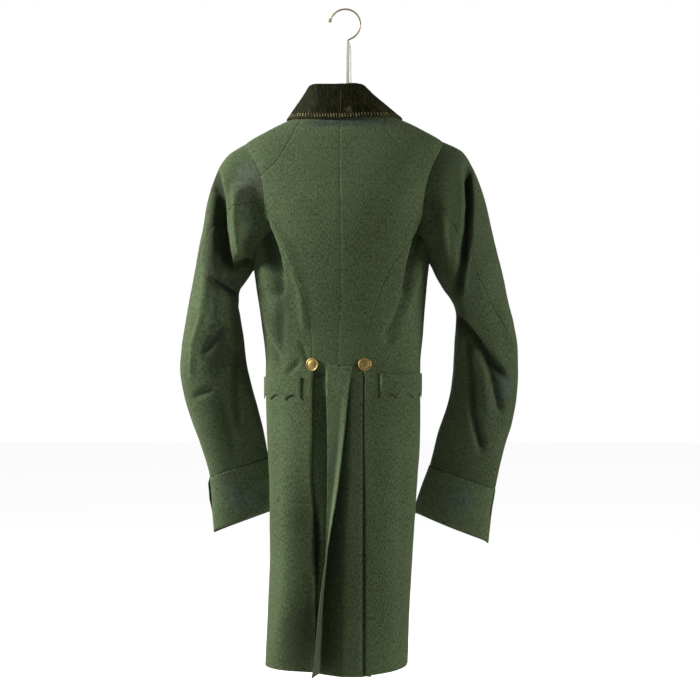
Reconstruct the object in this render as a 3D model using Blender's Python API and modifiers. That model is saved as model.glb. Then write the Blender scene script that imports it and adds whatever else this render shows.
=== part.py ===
"""A fitted green wool tailcoat with a velvet collar, hanging on a hanger.

The frame is +Z up, in metres. The origin is the inside of the hook's crown, where a rail carries it.
The coat's back faces +Y and its front faces -Y; its wearer's left is +X.
Each piece of cloth is a wall of its own, cut to an outline on the coat's form, 0.3 mm from its neighbours.
"""

import math
from collections import namedtuple

import bmesh
import bpy
import numpy as np
from mathutils import Vector, geometry

MM = 0.001
DEGREE = math.pi / 180

# Driving dimensions
WALL = 2.0 * MM
SEAM_GAP = 0.3 * MM
ARMHOLE_GAP = 0.36 * MM
HOOK_TO_NAPE = 194 * MM
COAT_OFF_HOOK = 1.6 * MM
SHANK_OFF_HOOK = -4.4 * MM
WAIST = -431 * MM
HEM = {1: -967 * MM, -1: -972 * MM}
HEM_AT_FRONT = {1: -961 * MM, -1: -956 * MM}
HEM_CURVE = {1: 0.8, -1: 1.0}
PANEL_MESH = 23 * MM
PATTERN_RADIUS = 140 * MM
NUDGE = 0.4 * MM

# Armholes: ellipses on the trunk, in degrees from the side and in height
ARMHOLE_MIDDLE = -147 * MM
ARMHOLE_HALF_HEIGHT = 107 * MM
ARMHOLE_BACK = {1: 25 * DEGREE, -1: 20 * DEGREE}
ARMHOLE_FRONT = 29 * DEGREE
ARMHOLE_SHARPNESS = 1.25
SHOULDER_SEAM_END = -103 * MM
SIDE_SEAM_END = -176 * MM
HIND_SEAM_AT_ARMHOLE = 89 * DEGREE
FORE_SEAM_AT_ARMHOLE = 262 * DEGREE

# Back: waist buttons, pleats and the lap of the centre vent
PLEAT_FROM_CENTRE = 45.5 * MM
PLEAT_TOP = WAIST - 8 * MM
PLEAT_FULL = WAIST - 28 * MM
PLEAT_RETURN = 22 * MM
PLEAT_ROLL = 2.8 * MM
BACK_RECESS = 7.5 * MM
UNDERLAP = 24 * MM
LAP_WIDTH = 24 * MM
LAP_TOP = WAIST - 3 * MM
LAP_LIFT = 3.0 * MM
LAP_VALLEY = 24 * MM
VENT_UNDERLAP = 12 * MM
TUCK_BEHIND = 6 * MM

# Front: edges, waist cut and the lapels
FRONT_EDGE_AT_NECK = 3 * MM
FRONT_EDGE_AT_WAIST = 12 * MM
NECK_FRONT = 166 * DEGREE
SHOULDER_NECK_END = 71 * DEGREE
LAPEL_BREAK = -262 * MM
LAPEL_MESH = 16 * MM

# Pocket flaps
FlapRow = namedtuple("FlapRow", "inner top depth")
FLAP = {1: FlapRow(66, -453, 40), -1: FlapRow(70.6, -447, 43)}
FLAP_OUTER = 117 * DEGREE
FLAP_SCALLOPS = 5
FLAP_SCALLOP_RISE = 9 * MM
FLAP_POINTS = 7
LAID_ON = 1.1 * MM

# Buttons: the face and edge of one, by share of its radius and by height above the cloth
WAIST_BUTTON = 22.6 * MM
BUTTON_SHANK = 2.2 * MM
ButtonRow = namedtuple("ButtonRow", "share height")
BUTTON = [
    ButtonRow(0, 3.4),
    ButtonRow(0.22, 3.3),
    ButtonRow(0.46, 2.9),
    ButtonRow(0.62, 2.3),
    ButtonRow(0.78, 2.2),
    ButtonRow(0.90, 2.7),
    ButtonRow(1.00, 2.2),
    ButtonRow(1.00, 1.2),
    ButtonRow(0.84, 0.9),
]

# Collar, in degrees round the neck and in millimetres of height
COLLAR_END = 140 * DEGREE
COLLAR_WALL = 2.4 * MM
COLLAR_ROLL = 3.2 * MM
COLLAR_LEAN = 12 * MM
COLLAR_STEPS = 26

# Hanger
HANGER_HALF_SPAN = 150 * MM
HANGER_THICK = 30 * MM
HANGER_DEEP = 24 * MM
HANGER_UNDER = 3.4 * MM
HANGER_END_DROP = 2 * MM
HANGER_STEPS = 18
SHANK_RADIUS = 7 * MM
SHANK_TOP = -55.5 * MM
HOOK_WIRE = 1.75 * MM
HOOK_RADIUS = 25.5 * MM
HOOK_FROM = -69
HOOK_TO = 156
HOOK_TIP = 3.6 * MM

# The trunk of the coat, by height above the nape: half widths on the wearer's left and right, reach to
# the back and to the front of the shoulder line, and how square the section is (2 is an ellipse)
TrunkRow = namedtuple("TrunkRow", "height left right back front square")
TRUNK = [
    TrunkRow(-985, 141, 111, 72, 70, 2.3),
    TrunkRow(-871, 136, 115, 74, 72, 2.3),
    TrunkRow(-764, 132, 121, 76, 74, 2.3),
    TrunkRow(-640, 133, 129, 77, 76, 2.3),
    TrunkRow(-551, 137, 134, 78, 78, 2.3),
    TrunkRow(-488, 138.5, 134.5, 76, 80, 2.3),
    TrunkRow(-431, 139.5, 134.5, 70, 82, 2.25),
    TrunkRow(-380, 144, 139, 74, 87, 2.25),
    TrunkRow(-317, 152, 144, 84, 95, 2.25),
    TrunkRow(-254, 161, 150, 92, 100, 2.2),
    TrunkRow(-200, 163, 157, 96, 98, 2.2),
    TrunkRow(-150, 169, 167, 95, 92, 2.2),
    TrunkRow(-103, 180, 180, 88, 82, 2.15),
    TrunkRow(-70, 186, 186, 80, 72, 2.1),
    TrunkRow(-54, 183, 183, 75, 67, 2.1),
    TrunkRow(-42, 175, 175, 71, 63, 2.1),
    TrunkRow(-21, 141, 141, 62, 56, 2.1),
    TrunkRow(0, 98, 98, 50, 46, 2.05),
    TrunkRow(10, 72, 72, 40, 40, 2.0),
]

# How far the middle of the back strays to the wearer's left, by height
StrayRow = namedtuple("StrayRow", "height across")
STRAY = [
    StrayRow(-985, 2.6),
    StrayRow(-425, 2.6),
    StrayRow(-375, 0.9),
    StrayRow(-305, -4.4),
    StrayRow(-237, -5.0),
    StrayRow(-166, -4.6),
    StrayRow(-97, -2.3),
    StrayRow(-36, 0),
    StrayRow(10, 0),
]

# The neck seam, by angle from the centre back
NeckRow = namedtuple("NeckRow", "angle height")
NECK = [
    NeckRow(0, 0),
    NeckRow(30, 1),
    NeckRow(64, 6),
    NeckRow(90, 8),
    NeckRow(112, 1),
    NeckRow(130, -19),
    NeckRow(150, -52),
    NeckRow(170, -84),
]

# The curved side seam of the back, by height: distance from the centre back seam
SeamRow = namedtuple("SeamRow", "height across")
SIDE_SEAM = [
    SeamRow(-431, 45.5),
    SeamRow(-395, 47),
    SeamRow(-345, 55),
    SeamRow(-300, 69),
    SeamRow(-250, 94),
    SeamRow(-212, 115),
    SeamRow(-176, 129),
]

# The fold where each forepart's skirt rolls under, by height: distance from the centre back
PleatRow = namedtuple("PleatRow", "height left right")
PLEAT = [
    PleatRow(-985, 52.7, 48.3),
    PleatRow(-802, 53.6, 48.3),
    PleatRow(-733, 55.3, 48.3),
    PleatRow(-650, 54.8, 48.3),
    PleatRow(-595, 51.5, 48.3),
    PleatRow(-545, 48.3, 48.3),
    PleatRow(-459, 48.3, 48.3),
    PleatRow(-439, 45.5, 45.5),
    PleatRow(-431, 45.5, 45.5),
]

# The shoulder seam, which slants across the back of the shoulder: distance from the centre back seam
SHOULDER_SEAM = [
    SeamRow(-103, 135),
    SeamRow(-75, 105),
    SeamRow(-40, 88),
    SeamRow(6, 70),
]

# The front edge of each tail, by height: angle from the centre back
EdgeRow = namedtuple("EdgeRow", "height angle")
TAIL_FRONT = [
    EdgeRow(-985, 99),
    EdgeRow(-800, 102),
    EdgeRow(-600, 109),
    EdgeRow(-480, 118),
    EdgeRow(-425, 128),
]

# The free left skirt of the back, by share of the skirt's length below the waist: where its valley lies
# and where its free edge hangs, across from the centre and out from the trunk, and how far the right
# skirt's free edge reaches behind it
LapRow = namedtuple("LapRow", "share valley_across valley_out edge_across edge_out underlap_across")
LAP = [
    LapRow(0.00, 23, 0, -24, 3.2, 12),
    LapRow(0.05, 23, -9, -21, 3.6, 12),
    LapRow(0.30, 24, -16, -3, 7, 16),
    LapRow(0.60, 28, -22, 18, 22, 29),
    LapRow(0.80, 34, -22, 32, 40, 36),
    LapRow(1.00, 39, -18, 46, 54, 42),
]

# Soft folds of the cloth: from one point to another across and up the coat, half width, and depth out
# (a trough is negative). Across is from the coat's middle, positive on the wearer's left.
Fold = namedtuple("Fold", "x0 z0 x1 z1 width depth")
BACK_FOLDS = [
    Fold(122, -205, 101, -318, 13, -13),
    Fold(149, -272, 108, -420, 10, 5),
    Fold(150, -335, 126, -432, 12, -7),
    Fold(-147, -190, -112, -305, 12, -14),
    Fold(-108, -300, -80, -395, 13, -6),
    Fold(-138, -300, -120, -430, 11, 4),
    Fold(52, -660, 50, -985, 30, -12),
    Fold(96, -640, 100, -985, 26, 5),
    Fold(-80, -520, -86, -960, 34, 3),
]
FRONT_FOLDS = [
    Fold(112, -205, 62, -320, 16, -7),
    Fold(-112, -205, -62, -320, 16, -7),
    Fold(92, -300, 30, -405, 14, 4),
    Fold(-92, -300, -30, -405, 14, 4),
]

# The lapel's free edge, from its break up to its point and along the gorge: across from the centre, and
# height
LapelRow = namedtuple("LapelRow", "across height")
LAPEL = [
    LapelRow(22, -236),
    LapelRow(37, -206),
    LapelRow(52, -176),
    LapelRow(67, -147),
    LapelRow(81, -118),
    LapelRow(92, -90),
    LapelRow(79, -76),
    LapelRow(66, -62),
    LapelRow(54, -51),
    LapelRow(44, -54),
    LapelRow(34, -64),
    LapelRow(26, -76),
    LapelRow(17, -89),
]

# Sleeves, from the armhole to the wrist: outer and inner edge seen from the back, middle and half depth
# front to back, and the angles of the two seams (0 outer edge, 90 back, 180 inner edge, 270 front).
# The first row only leads out of the armhole, which is its real place.
SleeveRow = namedtuple("SleeveRow", "outer_x outer_z inner_x inner_z middle_y half_y hind fore")
LEFT_SLEEVE = [
    SleeveRow(171, -40, 156, -254, 0, 57, 89, 262),
    SleeveRow(203, -58, 163, -265, 0, 62, 87, 260),
    SleeveRow(223, -84, 169, -276, 1, 65, 82, 257),
    SleeveRow(235, -112, 178, -289, 2, 65, 76, 253),
    SleeveRow(244, -148, 186, -300, 2, 64, 64, 248),
    SleeveRow(251, -189, 189, -311, 1, 62, 50, 243),
    SleeveRow(260, -231, 189, -326, 0, 60, 38, 238),
    SleeveRow(268, -274, 187, -345, -3, 58, 30, 233),
    SleeveRow(277, -317, 184, -367, -7, 56, 26, 229),
    SleeveRow(286, -360, 181, -390, -12, 54, 23, 225),
    SleeveRow(294, -403, 179, -416, -18, 52, 20, 221),
    SleeveRow(298, -446, 175, -446, -27, 50, 18, 217),
    SleeveRow(293, -490, 169, -479, -39, 46, 17, 213),
    SleeveRow(283, -533, 162, -514, -54, 42, 16, 209),
    SleeveRow(269, -580, 155, -552, -73, 37, 14, 205),
    SleeveRow(257, -638, 149, -602, -96, 32, 12, 201),
    SleeveRow(256, -686, 143, -646, -112, 30, 11, 198),
    SleeveRow(254, -742, 134, -697, -127, 28, 10, 196),
]
RIGHT_SLEEVE = [
    SleeveRow(171, -40, 152, -254, 0, 57, 89, 262),
    SleeveRow(208, -58, 157, -266, 0, 62, 91, 260),
    SleeveRow(225, -84, 163, -279, 1, 65, 92, 257),
    SleeveRow(237, -110, 170, -291, 2, 65, 92, 253),
    SleeveRow(250, -150, 178, -304, 2, 64, 90, 248),
    SleeveRow(259, -192, 187, -316, 1, 62, 88, 243),
    SleeveRow(269, -234, 194, -330, 0, 60, 83, 238),
    SleeveRow(280, -276, 197, -347, -3, 58, 74, 233),
    SleeveRow(288, -318, 196, -368, -7, 56, 62, 229),
    SleeveRow(298, -360, 194, -391, -12, 54, 48, 225),
    SleeveRow(305, -403, 193, -416, -18, 52, 35, 221),
    SleeveRow(306, -446, 191, -445, -27, 50, 27, 217),
    SleeveRow(303, -490, 186, -478, -39, 46, 23, 213),
    SleeveRow(295, -533, 176, -514, -54, 42, 20, 209),
    SleeveRow(281, -578, 161, -554, -73, 37, 18, 205),
    SleeveRow(263, -656, 145, -614, -98, 32, 15, 201),
    SleeveRow(255, -704, 128, -658, -114, 30, 14, 198),
    SleeveRow(249, -757, 112, -703, -129, 28, 13, 196),
]
CUFF_ROW = 15
CUFF_PROUD = 1.0 * MM
CUFF_SLIT = 2 * DEGREE
CUFF_GAP = 0.004
SLEEVE_SEAM_TURN = 0.2 * DEGREE
SLEEVE_STEPS = 10
SLEEVE_ROW_STEPS = 1.2

LEFT_SLEEVE_FOLDS = [
    Fold(201, -100, 203, -262, 12, -20),
    Fold(172, -130, 180, -262, 15, 8),
    Fold(203, -262, 222, -345, 14, -9),
    Fold(245, -330, 205, -385, 12, 5),
    Fold(222, -470, 214, -600, 15, -7),
    Fold(190, -440, 186, -560, 14, 4),
]
RIGHT_SLEEVE_FOLDS = [
    Fold(224, -120, 226, -262, 12, -16),
    Fold(178, -200, 190, -300, 13, 5),
    Fold(196, -318, 292, -436, 11, 10),
    Fold(196, -345, 280, -450, 10, -15),
    Fold(230, -450, 240, -600, 14, -9),
    Fold(262, -470, 258, -600, 14, 3),
]

# The collar, by angle from the centre back: how far its roll stands above the neck seam and inside it,
# how full the fall is, and the height of the fall's edge
CollarRow = namedtuple("CollarRow", "angle rise inward full edge_height")
COLLAR = [
    CollarRow(0, 57, 3, 1, -6),
    CollarRow(30, 57, 3, 1, -5),
    CollarRow(58, 53, 13, 1, -3),
    CollarRow(78, 43, 20, 1, -1),
    CollarRow(95, 32, 19, 1, -2),
    CollarRow(115, 22, 10, 1, -16),
    CollarRow(135, 17, 4, 1, -36),
    CollarRow(150, 15, 2, 1, -56),
]


def curve(knots, values):
    """A smooth function through a table's values that never swings past them."""
    knots = np.asarray(knots, float)
    values = np.asarray(values, float)
    steps = np.diff(values) / np.diff(knots)
    product = steps[1:] * steps[:-1]
    total = np.where(product > 0, steps[1:] + steps[:-1], 1.0)
    inner = np.where(product > 0, 2 * product / total, 0.0)
    slopes = np.concatenate(([steps[0]], inner, [steps[-1]]))

    def at(position):
        position = np.clip(np.asarray(position, float), knots[0], knots[-1])
        row = np.clip(np.searchsorted(knots, position) - 1, 0, len(knots) - 2)
        width = knots[row + 1] - knots[row]
        share = (position - knots[row]) / width
        rise = share * share * (3 - 2 * share)
        start = values[row] + slopes[row] * width * (share - 2 * share**2 + share**3)
        end = slopes[row + 1] * width * (share**3 - share**2)
        return start + rise * (values[row + 1] - values[row]) + end

    return at


def column(rows, key, field, unit=MM, key_unit=MM):
    """One column of a table as a smooth function of its first column."""
    return curve([getattr(r, key) * key_unit for r in rows], [getattr(r, field) * unit for r in rows])


def smooth_step(low, high, value):
    share = np.clip((value - low) / (high - low), 0, 1)
    return share * share * (3 - 2 * share)


TRUNK_LEFT = column(TRUNK, "height", "left")
TRUNK_RIGHT = column(TRUNK, "height", "right")
TRUNK_BACK = column(TRUNK, "height", "back")
TRUNK_FRONT = column(TRUNK, "height", "front")
TRUNK_SQUARE = column(TRUNK, "height", "square", unit=1)
STRAY_ACROSS = column(STRAY, "height", "across")
NECK_HEIGHT = column(NECK, "angle", "height", key_unit=DEGREE)
SIDE_ACROSS = column(SIDE_SEAM, "height", "across")
PLEAT_ACROSS = {1: column(PLEAT, "height", "left"), -1: column(PLEAT, "height", "right")}
SHOULDER_ACROSS = column(SHOULDER_SEAM, "height", "across")
TAIL_ANGLE = column(TAIL_FRONT, "height", "angle", unit=DEGREE)


def fold_out(folds, x, z):
    """How far the soft folds push the cloth out at a place seen from the back."""
    out = np.zeros(np.broadcast(x, z).shape)
    for fold in folds:
        start = np.array([fold.x0, fold.z0]) * MM
        run = np.array([fold.x1, fold.z1]) * MM - start
        length = np.hypot(*run)
        along = ((x - start[0]) * run[0] + (z - start[1]) * run[1]) / length**2
        aside = ((x - start[0]) * run[1] - (z - start[1]) * run[0]) / length
        fade = smooth_step(-0.22, 0.25, along) * (1 - smooth_step(0.75, 1.22, along))
        out = out + fold.depth * MM * fade * np.exp(-((aside / (fold.width * MM)) ** 2))
    return out


def trunk_reach(angle, height):
    side = np.where(np.sin(angle) >= 0, TRUNK_LEFT(height), TRUNK_RIGHT(height))
    deep = np.where(np.cos(angle) >= 0, TRUNK_BACK(height), TRUNK_FRONT(height))
    square = TRUNK_SQUARE(height)
    spread = (np.abs(np.sin(angle)) / side) ** square + (np.abs(np.cos(angle)) / deep) ** square
    return spread ** (-1 / square)


def trunk(angle, height):
    """Outer face of the coat round the trunk, by angle from the centre back (positive to the left)."""
    angle, height = np.broadcast_arrays(np.asarray(angle, float), np.asarray(height, float))
    reach = trunk_reach(angle, height)
    x = reach * np.sin(angle)
    facing = np.cos(angle)
    out = fold_out(BACK_FOLDS, x, height) * smooth_step(-0.1, 0.45, facing)
    out = out + fold_out(FRONT_FOLDS, x, height) * smooth_step(0.1, 0.45, -facing)
    stray = STRAY_ACROSS(height) * smooth_step(0.3, 0.9, facing)
    return np.stack([(reach + out) * np.sin(angle) + stray, (reach + out) * np.cos(angle), height], -1)


def angle_across(across, height, face=1):
    """The angle at which the trunk is that far across, on its back (face 1) or its front (face -1)."""
    side = np.where(np.asarray(across) >= 0, TRUNK_LEFT(height), TRUNK_RIGHT(height))
    deep = TRUNK_BACK(height) if face > 0 else TRUNK_FRONT(height)
    square = TRUNK_SQUARE(height)
    share = np.clip(np.abs(across) / side, 0, 0.9999)
    return np.arctan2(across, face * deep * (1 - share**square) ** (1 / square))


def wrapped(u, v):
    """The trunk in pattern lengths: u round the body from the centre back, v up from the nape."""
    return trunk(u / PATTERN_RADIUS, v)


def pleat_line(side, v):
    """Where a forepart's skirt starts to roll under, a roll's radius outside the fold that shows."""
    return angle_across(side * PLEAT_ACROSS[side](v), v) * PATTERN_RADIUS


def forepart_cloth(side):
    """A forepart's face: the trunk, with the back edge of its skirt rolled under along the pleat."""

    def face(u, v):
        u, v = np.broadcast_arrays(np.asarray(u, float), np.asarray(v, float))
        line = pleat_line(side, v)
        past = np.where(v < PLEAT_TOP, np.maximum(0, (line - u) * side), 0)
        turn = np.minimum(past / PLEAT_ROLL, math.pi)
        back = np.maximum(0, past - math.pi * PLEAT_ROLL)
        held = np.where(past > 0, line + side * back, u)
        here = wrapped(held, v)
        inward = wrapped(held - side * NUDGE, v) - here
        inward = inward / np.linalg.norm(inward, axis=-1, keepdims=True)
        under = np.stack([-inward[..., 1] * side, inward[..., 0] * side, np.zeros_like(past)], -1)
        sideways = (PLEAT_ROLL * np.sin(turn))[..., None]
        deep = (PLEAT_ROLL * (1 - np.cos(turn)))[..., None]
        return here + inward * sideways + under * deep

    return face


def lap_columns():
    return [column(LAP, "share", name, key_unit=1) for name in LapRow._fields[1:]]


VALLEY_ACROSS, VALLEY_OUT, EDGE_ACROSS, EDGE_OUT, UNDERLAP_ACROSS = lap_columns()


def back_cloth(side):
    """A back's face: flat to the trunk above the waist; below it the skirt lies behind the pleat.

    Here u is the distance from the centre seam towards the piece's own side.
    """

    def face(u, v):
        u, v = np.broadcast_arrays(np.asarray(u, float), np.asarray(v, float))
        share = np.clip((WAIST - v) / (WAIST - HEM[side]), 0, 1)
        begins = WAIST - 3 * MM + 17 * MM * smooth_step(15 * MM, 42 * MM, u)
        behind = BACK_RECESS * smooth_step(0, 24 * MM, begins - v)
        if side > 0:
            to_valley = smooth_step(PLEAT_FROM_CENTRE, LAP_VALLEY, u)
            to_edge = smooth_step(LAP_VALLEY, -LAP_WIDTH, u)
            blend = smooth_step(0, 0.03, share)
            linear = np.clip((LAP_VALLEY - u) / (LAP_VALLEY + LAP_WIDTH), 0, 1)
            beside = u + (VALLEY_ACROSS(share) - LAP_VALLEY) * to_valley
            over = VALLEY_ACROSS(share) * (1 - linear) + EDGE_ACROSS(share) * linear
            across = np.where(u > LAP_VALLEY, beside, over)
            across = u * (1 - blend) + across * blend
            valley = -behind * (1 - to_valley) + np.minimum(VALLEY_OUT(share), -behind) * to_valley
            below_top = smooth_step(-6 * MM, 2 * MM, LAP_TOP - v)
            lifted = LAP_LIFT * smooth_step(LAP_VALLEY, 2 * MM, u) * below_top
            edge = np.maximum(EDGE_OUT(share), lifted)
            out = np.where(u > LAP_VALLEY, valley, valley * (1 - to_edge) + edge * to_edge)
            top_fade = smooth_step(0, 20 * MM, WAIST + 4 * MM - v)
            out = out * top_fade + np.where(u < LAP_VALLEY, lifted * (1 - top_fade), 0)
        else:
            whole = PLEAT_FROM_CENTRE + VENT_UNDERLAP
            near_vent = np.clip((PLEAT_FROM_CENTRE - u) / whole, 0, 1)
            across = (UNDERLAP_ACROSS(share) - VENT_UNDERLAP) * near_vent - u
            tucked = np.minimum(VALLEY_OUT(share) - TUCK_BEHIND, -BACK_RECESS) + BACK_RECESS
            out = -behind + tucked * behind / BACK_RECESS * smooth_step(20 * MM, -6 * MM, u)
        body = wrapped(angle_across(across, v) * PATTERN_RADIUS, v)
        return body + np.stack([np.zeros_like(u), out, np.zeros_like(u)], -1)

    return face


def normals_of(face, u, v, outward):
    """Unit normals of a face, on the side that the outward sign gives."""
    here = face(u, v)
    across = face(u + NUDGE, v) - here
    upward = face(u, v + NUDGE) - here
    normal = np.cross(across, upward) * outward
    return here, normal / np.maximum(np.linalg.norm(normal, axis=-1, keepdims=True), 1e-12)


def inside_outline(points, outline, clear):
    """Which points lie inside a closed outline and at least that far from it."""
    start = np.asarray(outline)
    end = np.roll(start, -1, axis=0)
    run = end - start
    px, py = points[:, 0:1], points[:, 1:2]
    crosses = (start[:, 1] > py) != (end[:, 1] > py)
    slope = np.where(np.abs(run[:, 1]) > 1e-12, run[:, 1], 1e-12)
    hit = px < start[:, 0] + (py - start[:, 1]) / slope * run[:, 0]
    within = np.sum(crosses & hit, axis=1) % 2 == 1
    length = np.maximum(np.sum(run**2, axis=1), 1e-18)
    share = np.clip(((px - start[:, 0]) * run[:, 0] + (py - start[:, 1]) * run[:, 1]) / length, 0, 1)
    away = np.hypot(px - start[:, 0] - share * run[:, 0], py - start[:, 1] - share * run[:, 1]).min(axis=1)
    return within & (away > clear)


def cut_outline(outline, mesh, lines=()):
    """Fills a closed outline with triangles about one mesh length across, and edges along the lines."""
    outline = np.asarray(outline, float)
    low, high = outline.min(axis=0), outline.max(axis=0)
    columns = np.arange(low[0] + mesh / 2, high[0], mesh)
    levels = np.arange(low[1] + mesh / 2, high[1], mesh * 1.15)
    grid = np.array([(c, r) for r in levels for c in columns])
    inner = grid[inside_outline(grid, outline, mesh * 0.42)] if len(grid) else grid
    ring = list(range(len(outline)))
    edges = list(zip(ring, ring[1:] + ring[:1]))
    placed = outline
    for line in lines:
        line = np.asarray(line, float)
        line = line[inside_outline(line, outline, NUDGE)]
        gap = np.hypot(inner[:, None, 0] - line[None, :, 0], inner[:, None, 1] - line[None, :, 1])
        inner = inner[gap.min(axis=1) > mesh * 0.42]
        edges += [(len(placed) + i, len(placed) + i + 1) for i in range(len(line) - 1)]
        placed = np.concatenate([placed, line])
    points = [Vector(p) for p in np.concatenate([placed, inner])]
    found = geometry.delaunay_2d_cdt(points, edges, [ring], 1, 1e-9)
    return np.array([tuple(p) for p in found[0]]), [tuple(f) for f in found[2]]


def new_part(name, mesh, material):
    part = bpy.data.objects.new(name, mesh)
    COLLECTION.objects.link(part)
    part.parent = COAT
    mesh.materials.append(material)
    return part


def wall(name, outer, inner, faces, material):
    """Closes two matching faces of cloth with a rim and makes them one piece."""
    count = len(outer)
    border = {}
    for face in faces:
        for a, b in zip(face, face[1:] + face[:1]):
            border[(a, b)] = True
    rim = [edge for edge in border if (edge[1], edge[0]) not in border]
    outside = [tuple(f) for f in faces]
    inside = [tuple(count + i for i in reversed(f)) for f in faces]
    sides = [(b, a, count + a, count + b) for a, b in rim]
    mesh = bpy.data.meshes.new(name)
    mesh.from_pydata([tuple(p) for p in np.concatenate([outer, inner])], [], outside + inside + sides)
    mesh.validate()
    tidy = bmesh.new()
    tidy.from_mesh(mesh)
    bmesh.ops.triangulate(tidy, faces=tidy.faces)
    bmesh.ops.recalc_face_normals(tidy, faces=tidy.faces)
    tidy.to_mesh(mesh)
    tidy.free()
    mesh.shade_smooth()
    return new_part(name, mesh, material)


def cut_cloth(name, outline, face, outward, material, mesh=PANEL_MESH, lines=(), lift=0.0, thick=WALL):
    """Cuts a piece of cloth to an outline on a face; lift is how far it lies off that face."""
    flat, triangles = cut_outline(outline, mesh, lines)
    here, normal = normals_of(face, flat[:, 0], flat[:, 1], outward)
    top = lift + thick if lift else 0.0
    outer = here + normal * top
    inner = here + normal * (top - thick)
    return wall(name, outer, inner, [t[::outward] for t in triangles], material)


def grid_cloth(name, outer, inner, material):
    """A piece of cloth from matching grids of points for its two faces."""
    rows, columns = outer.shape[:2]
    faces = []
    for i in range(rows - 1):
        for j in range(columns - 1):
            first = i * columns + j
            faces.append((first, first + 1, first + columns + 1, first + columns))
    return wall(name, outer.reshape(-1, 3), inner.reshape(-1, 3), faces, material)


def run_down(high, low, step=PANEL_MESH):
    """Heights from high to low at about one step, the same for every piece that shares the line."""
    return np.linspace(high, low, max(2, round(abs(high - low) / step) + 1))


def armhole(side, turn, grow=0.0):
    """A point of the armhole: turn 0 is its top, a quarter turn its back, a half turn its bottom."""
    wide = np.where(np.sin(turn) > 0, ARMHOLE_BACK[side], ARMHOLE_FRONT) * PATTERN_RADIUS + grow
    bulge = np.sign(np.sin(turn)) * np.abs(np.sin(turn)) ** ARMHOLE_SHARPNESS
    u = side * (math.pi / 2 * PATTERN_RADIUS - wide * bulge)
    return u, ARMHOLE_MIDDLE + (ARMHOLE_HALF_HEIGHT + grow) * np.cos(turn)


def armhole_turn(height):
    return math.acos((height - ARMHOLE_MIDDLE) / ARMHOLE_HALF_HEIGHT)


def piece_turns(hind, fore, under):
    """The turns at which one lengthwise piece of a sleeve has its points, from seam to seam."""
    if under:
        return np.linspace(hind + SLEEVE_SEAM_TURN, fore - SLEEVE_SEAM_TURN, SLEEVE_STEPS)
    return np.linspace(fore - 2 * math.pi + SLEEVE_SEAM_TURN, hind - SLEEVE_SEAM_TURN, SLEEVE_STEPS)


def armhole_run(side, start, end):
    """The armhole's edge on the panels, with a point wherever the sleeve has one."""
    upper = piece_turns(HIND_SEAM_AT_ARMHOLE, FORE_SEAM_AT_ARMHOLE, False)[:-1]
    under = piece_turns(HIND_SEAM_AT_ARMHOLE, FORE_SEAM_AT_ARMHOLE, True)[:-1]
    turns = np.concatenate([upper, under, upper + 2 * math.pi])
    return [armhole(side, t, ARMHOLE_GAP) for t in turns if start + 0.04 < t < end - 0.04]


def seam_points(side, across, heights, top_turn):
    """A back seam as pattern points that end exactly on the armhole."""
    reached, _ = armhole(side, top_turn)
    end = heights[np.argmax(np.abs(heights - WAIST))] if across is SIDE_ACROSS else heights[-1]
    first = angle_across(side * across(end), end) * PATTERN_RADIUS
    points = []
    for height in heights:
        u = float(angle_across(side * across(height), height) * PATTERN_RADIUS)
        near = float(smooth_step(0, 1, 1 - abs(height - end) / (90 * MM)))
        points.append((u + near * float(reached - first), float(height)))
    return points


def shoulder_seam(side):
    heights = run_down(float(NECK_HEIGHT(SHOULDER_NECK_END)), SHOULDER_SEAM_END, 18 * MM)
    seam = seam_points(side, SHOULDER_ACROSS, heights, armhole_turn(SHOULDER_SEAM_END))
    return [(side * SHOULDER_NECK_END * PATTERN_RADIUS, seam[0][1]), *seam[1:]]


def side_seam(side):
    heights = run_down(SIDE_SEAM_END, WAIST)
    return seam_points(side, SIDE_ACROSS, heights, armhole_turn(SIDE_SEAM_END))


def moved(points, du, dv=0.0):
    return [(u + du, v + dv) for u, v in points]


def neck_run(side, start, end, steps, drop=0.0):
    angles = np.linspace(start, end, steps)
    return [(side * a * PATTERN_RADIUS, float(NECK_HEIGHT(a)) - drop) for a in angles]


def front_edge(side, v):
    """Pattern place of the coat's front edge; the two fall apart a little towards the waist."""
    share = smooth_step(LAPEL_BREAK, WAIST, v)
    across = FRONT_EDGE_AT_NECK * (1 - share) + FRONT_EDGE_AT_WAIST * share
    return float(angle_across(side * across, v, -1)) * PATTERN_RADIUS


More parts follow.
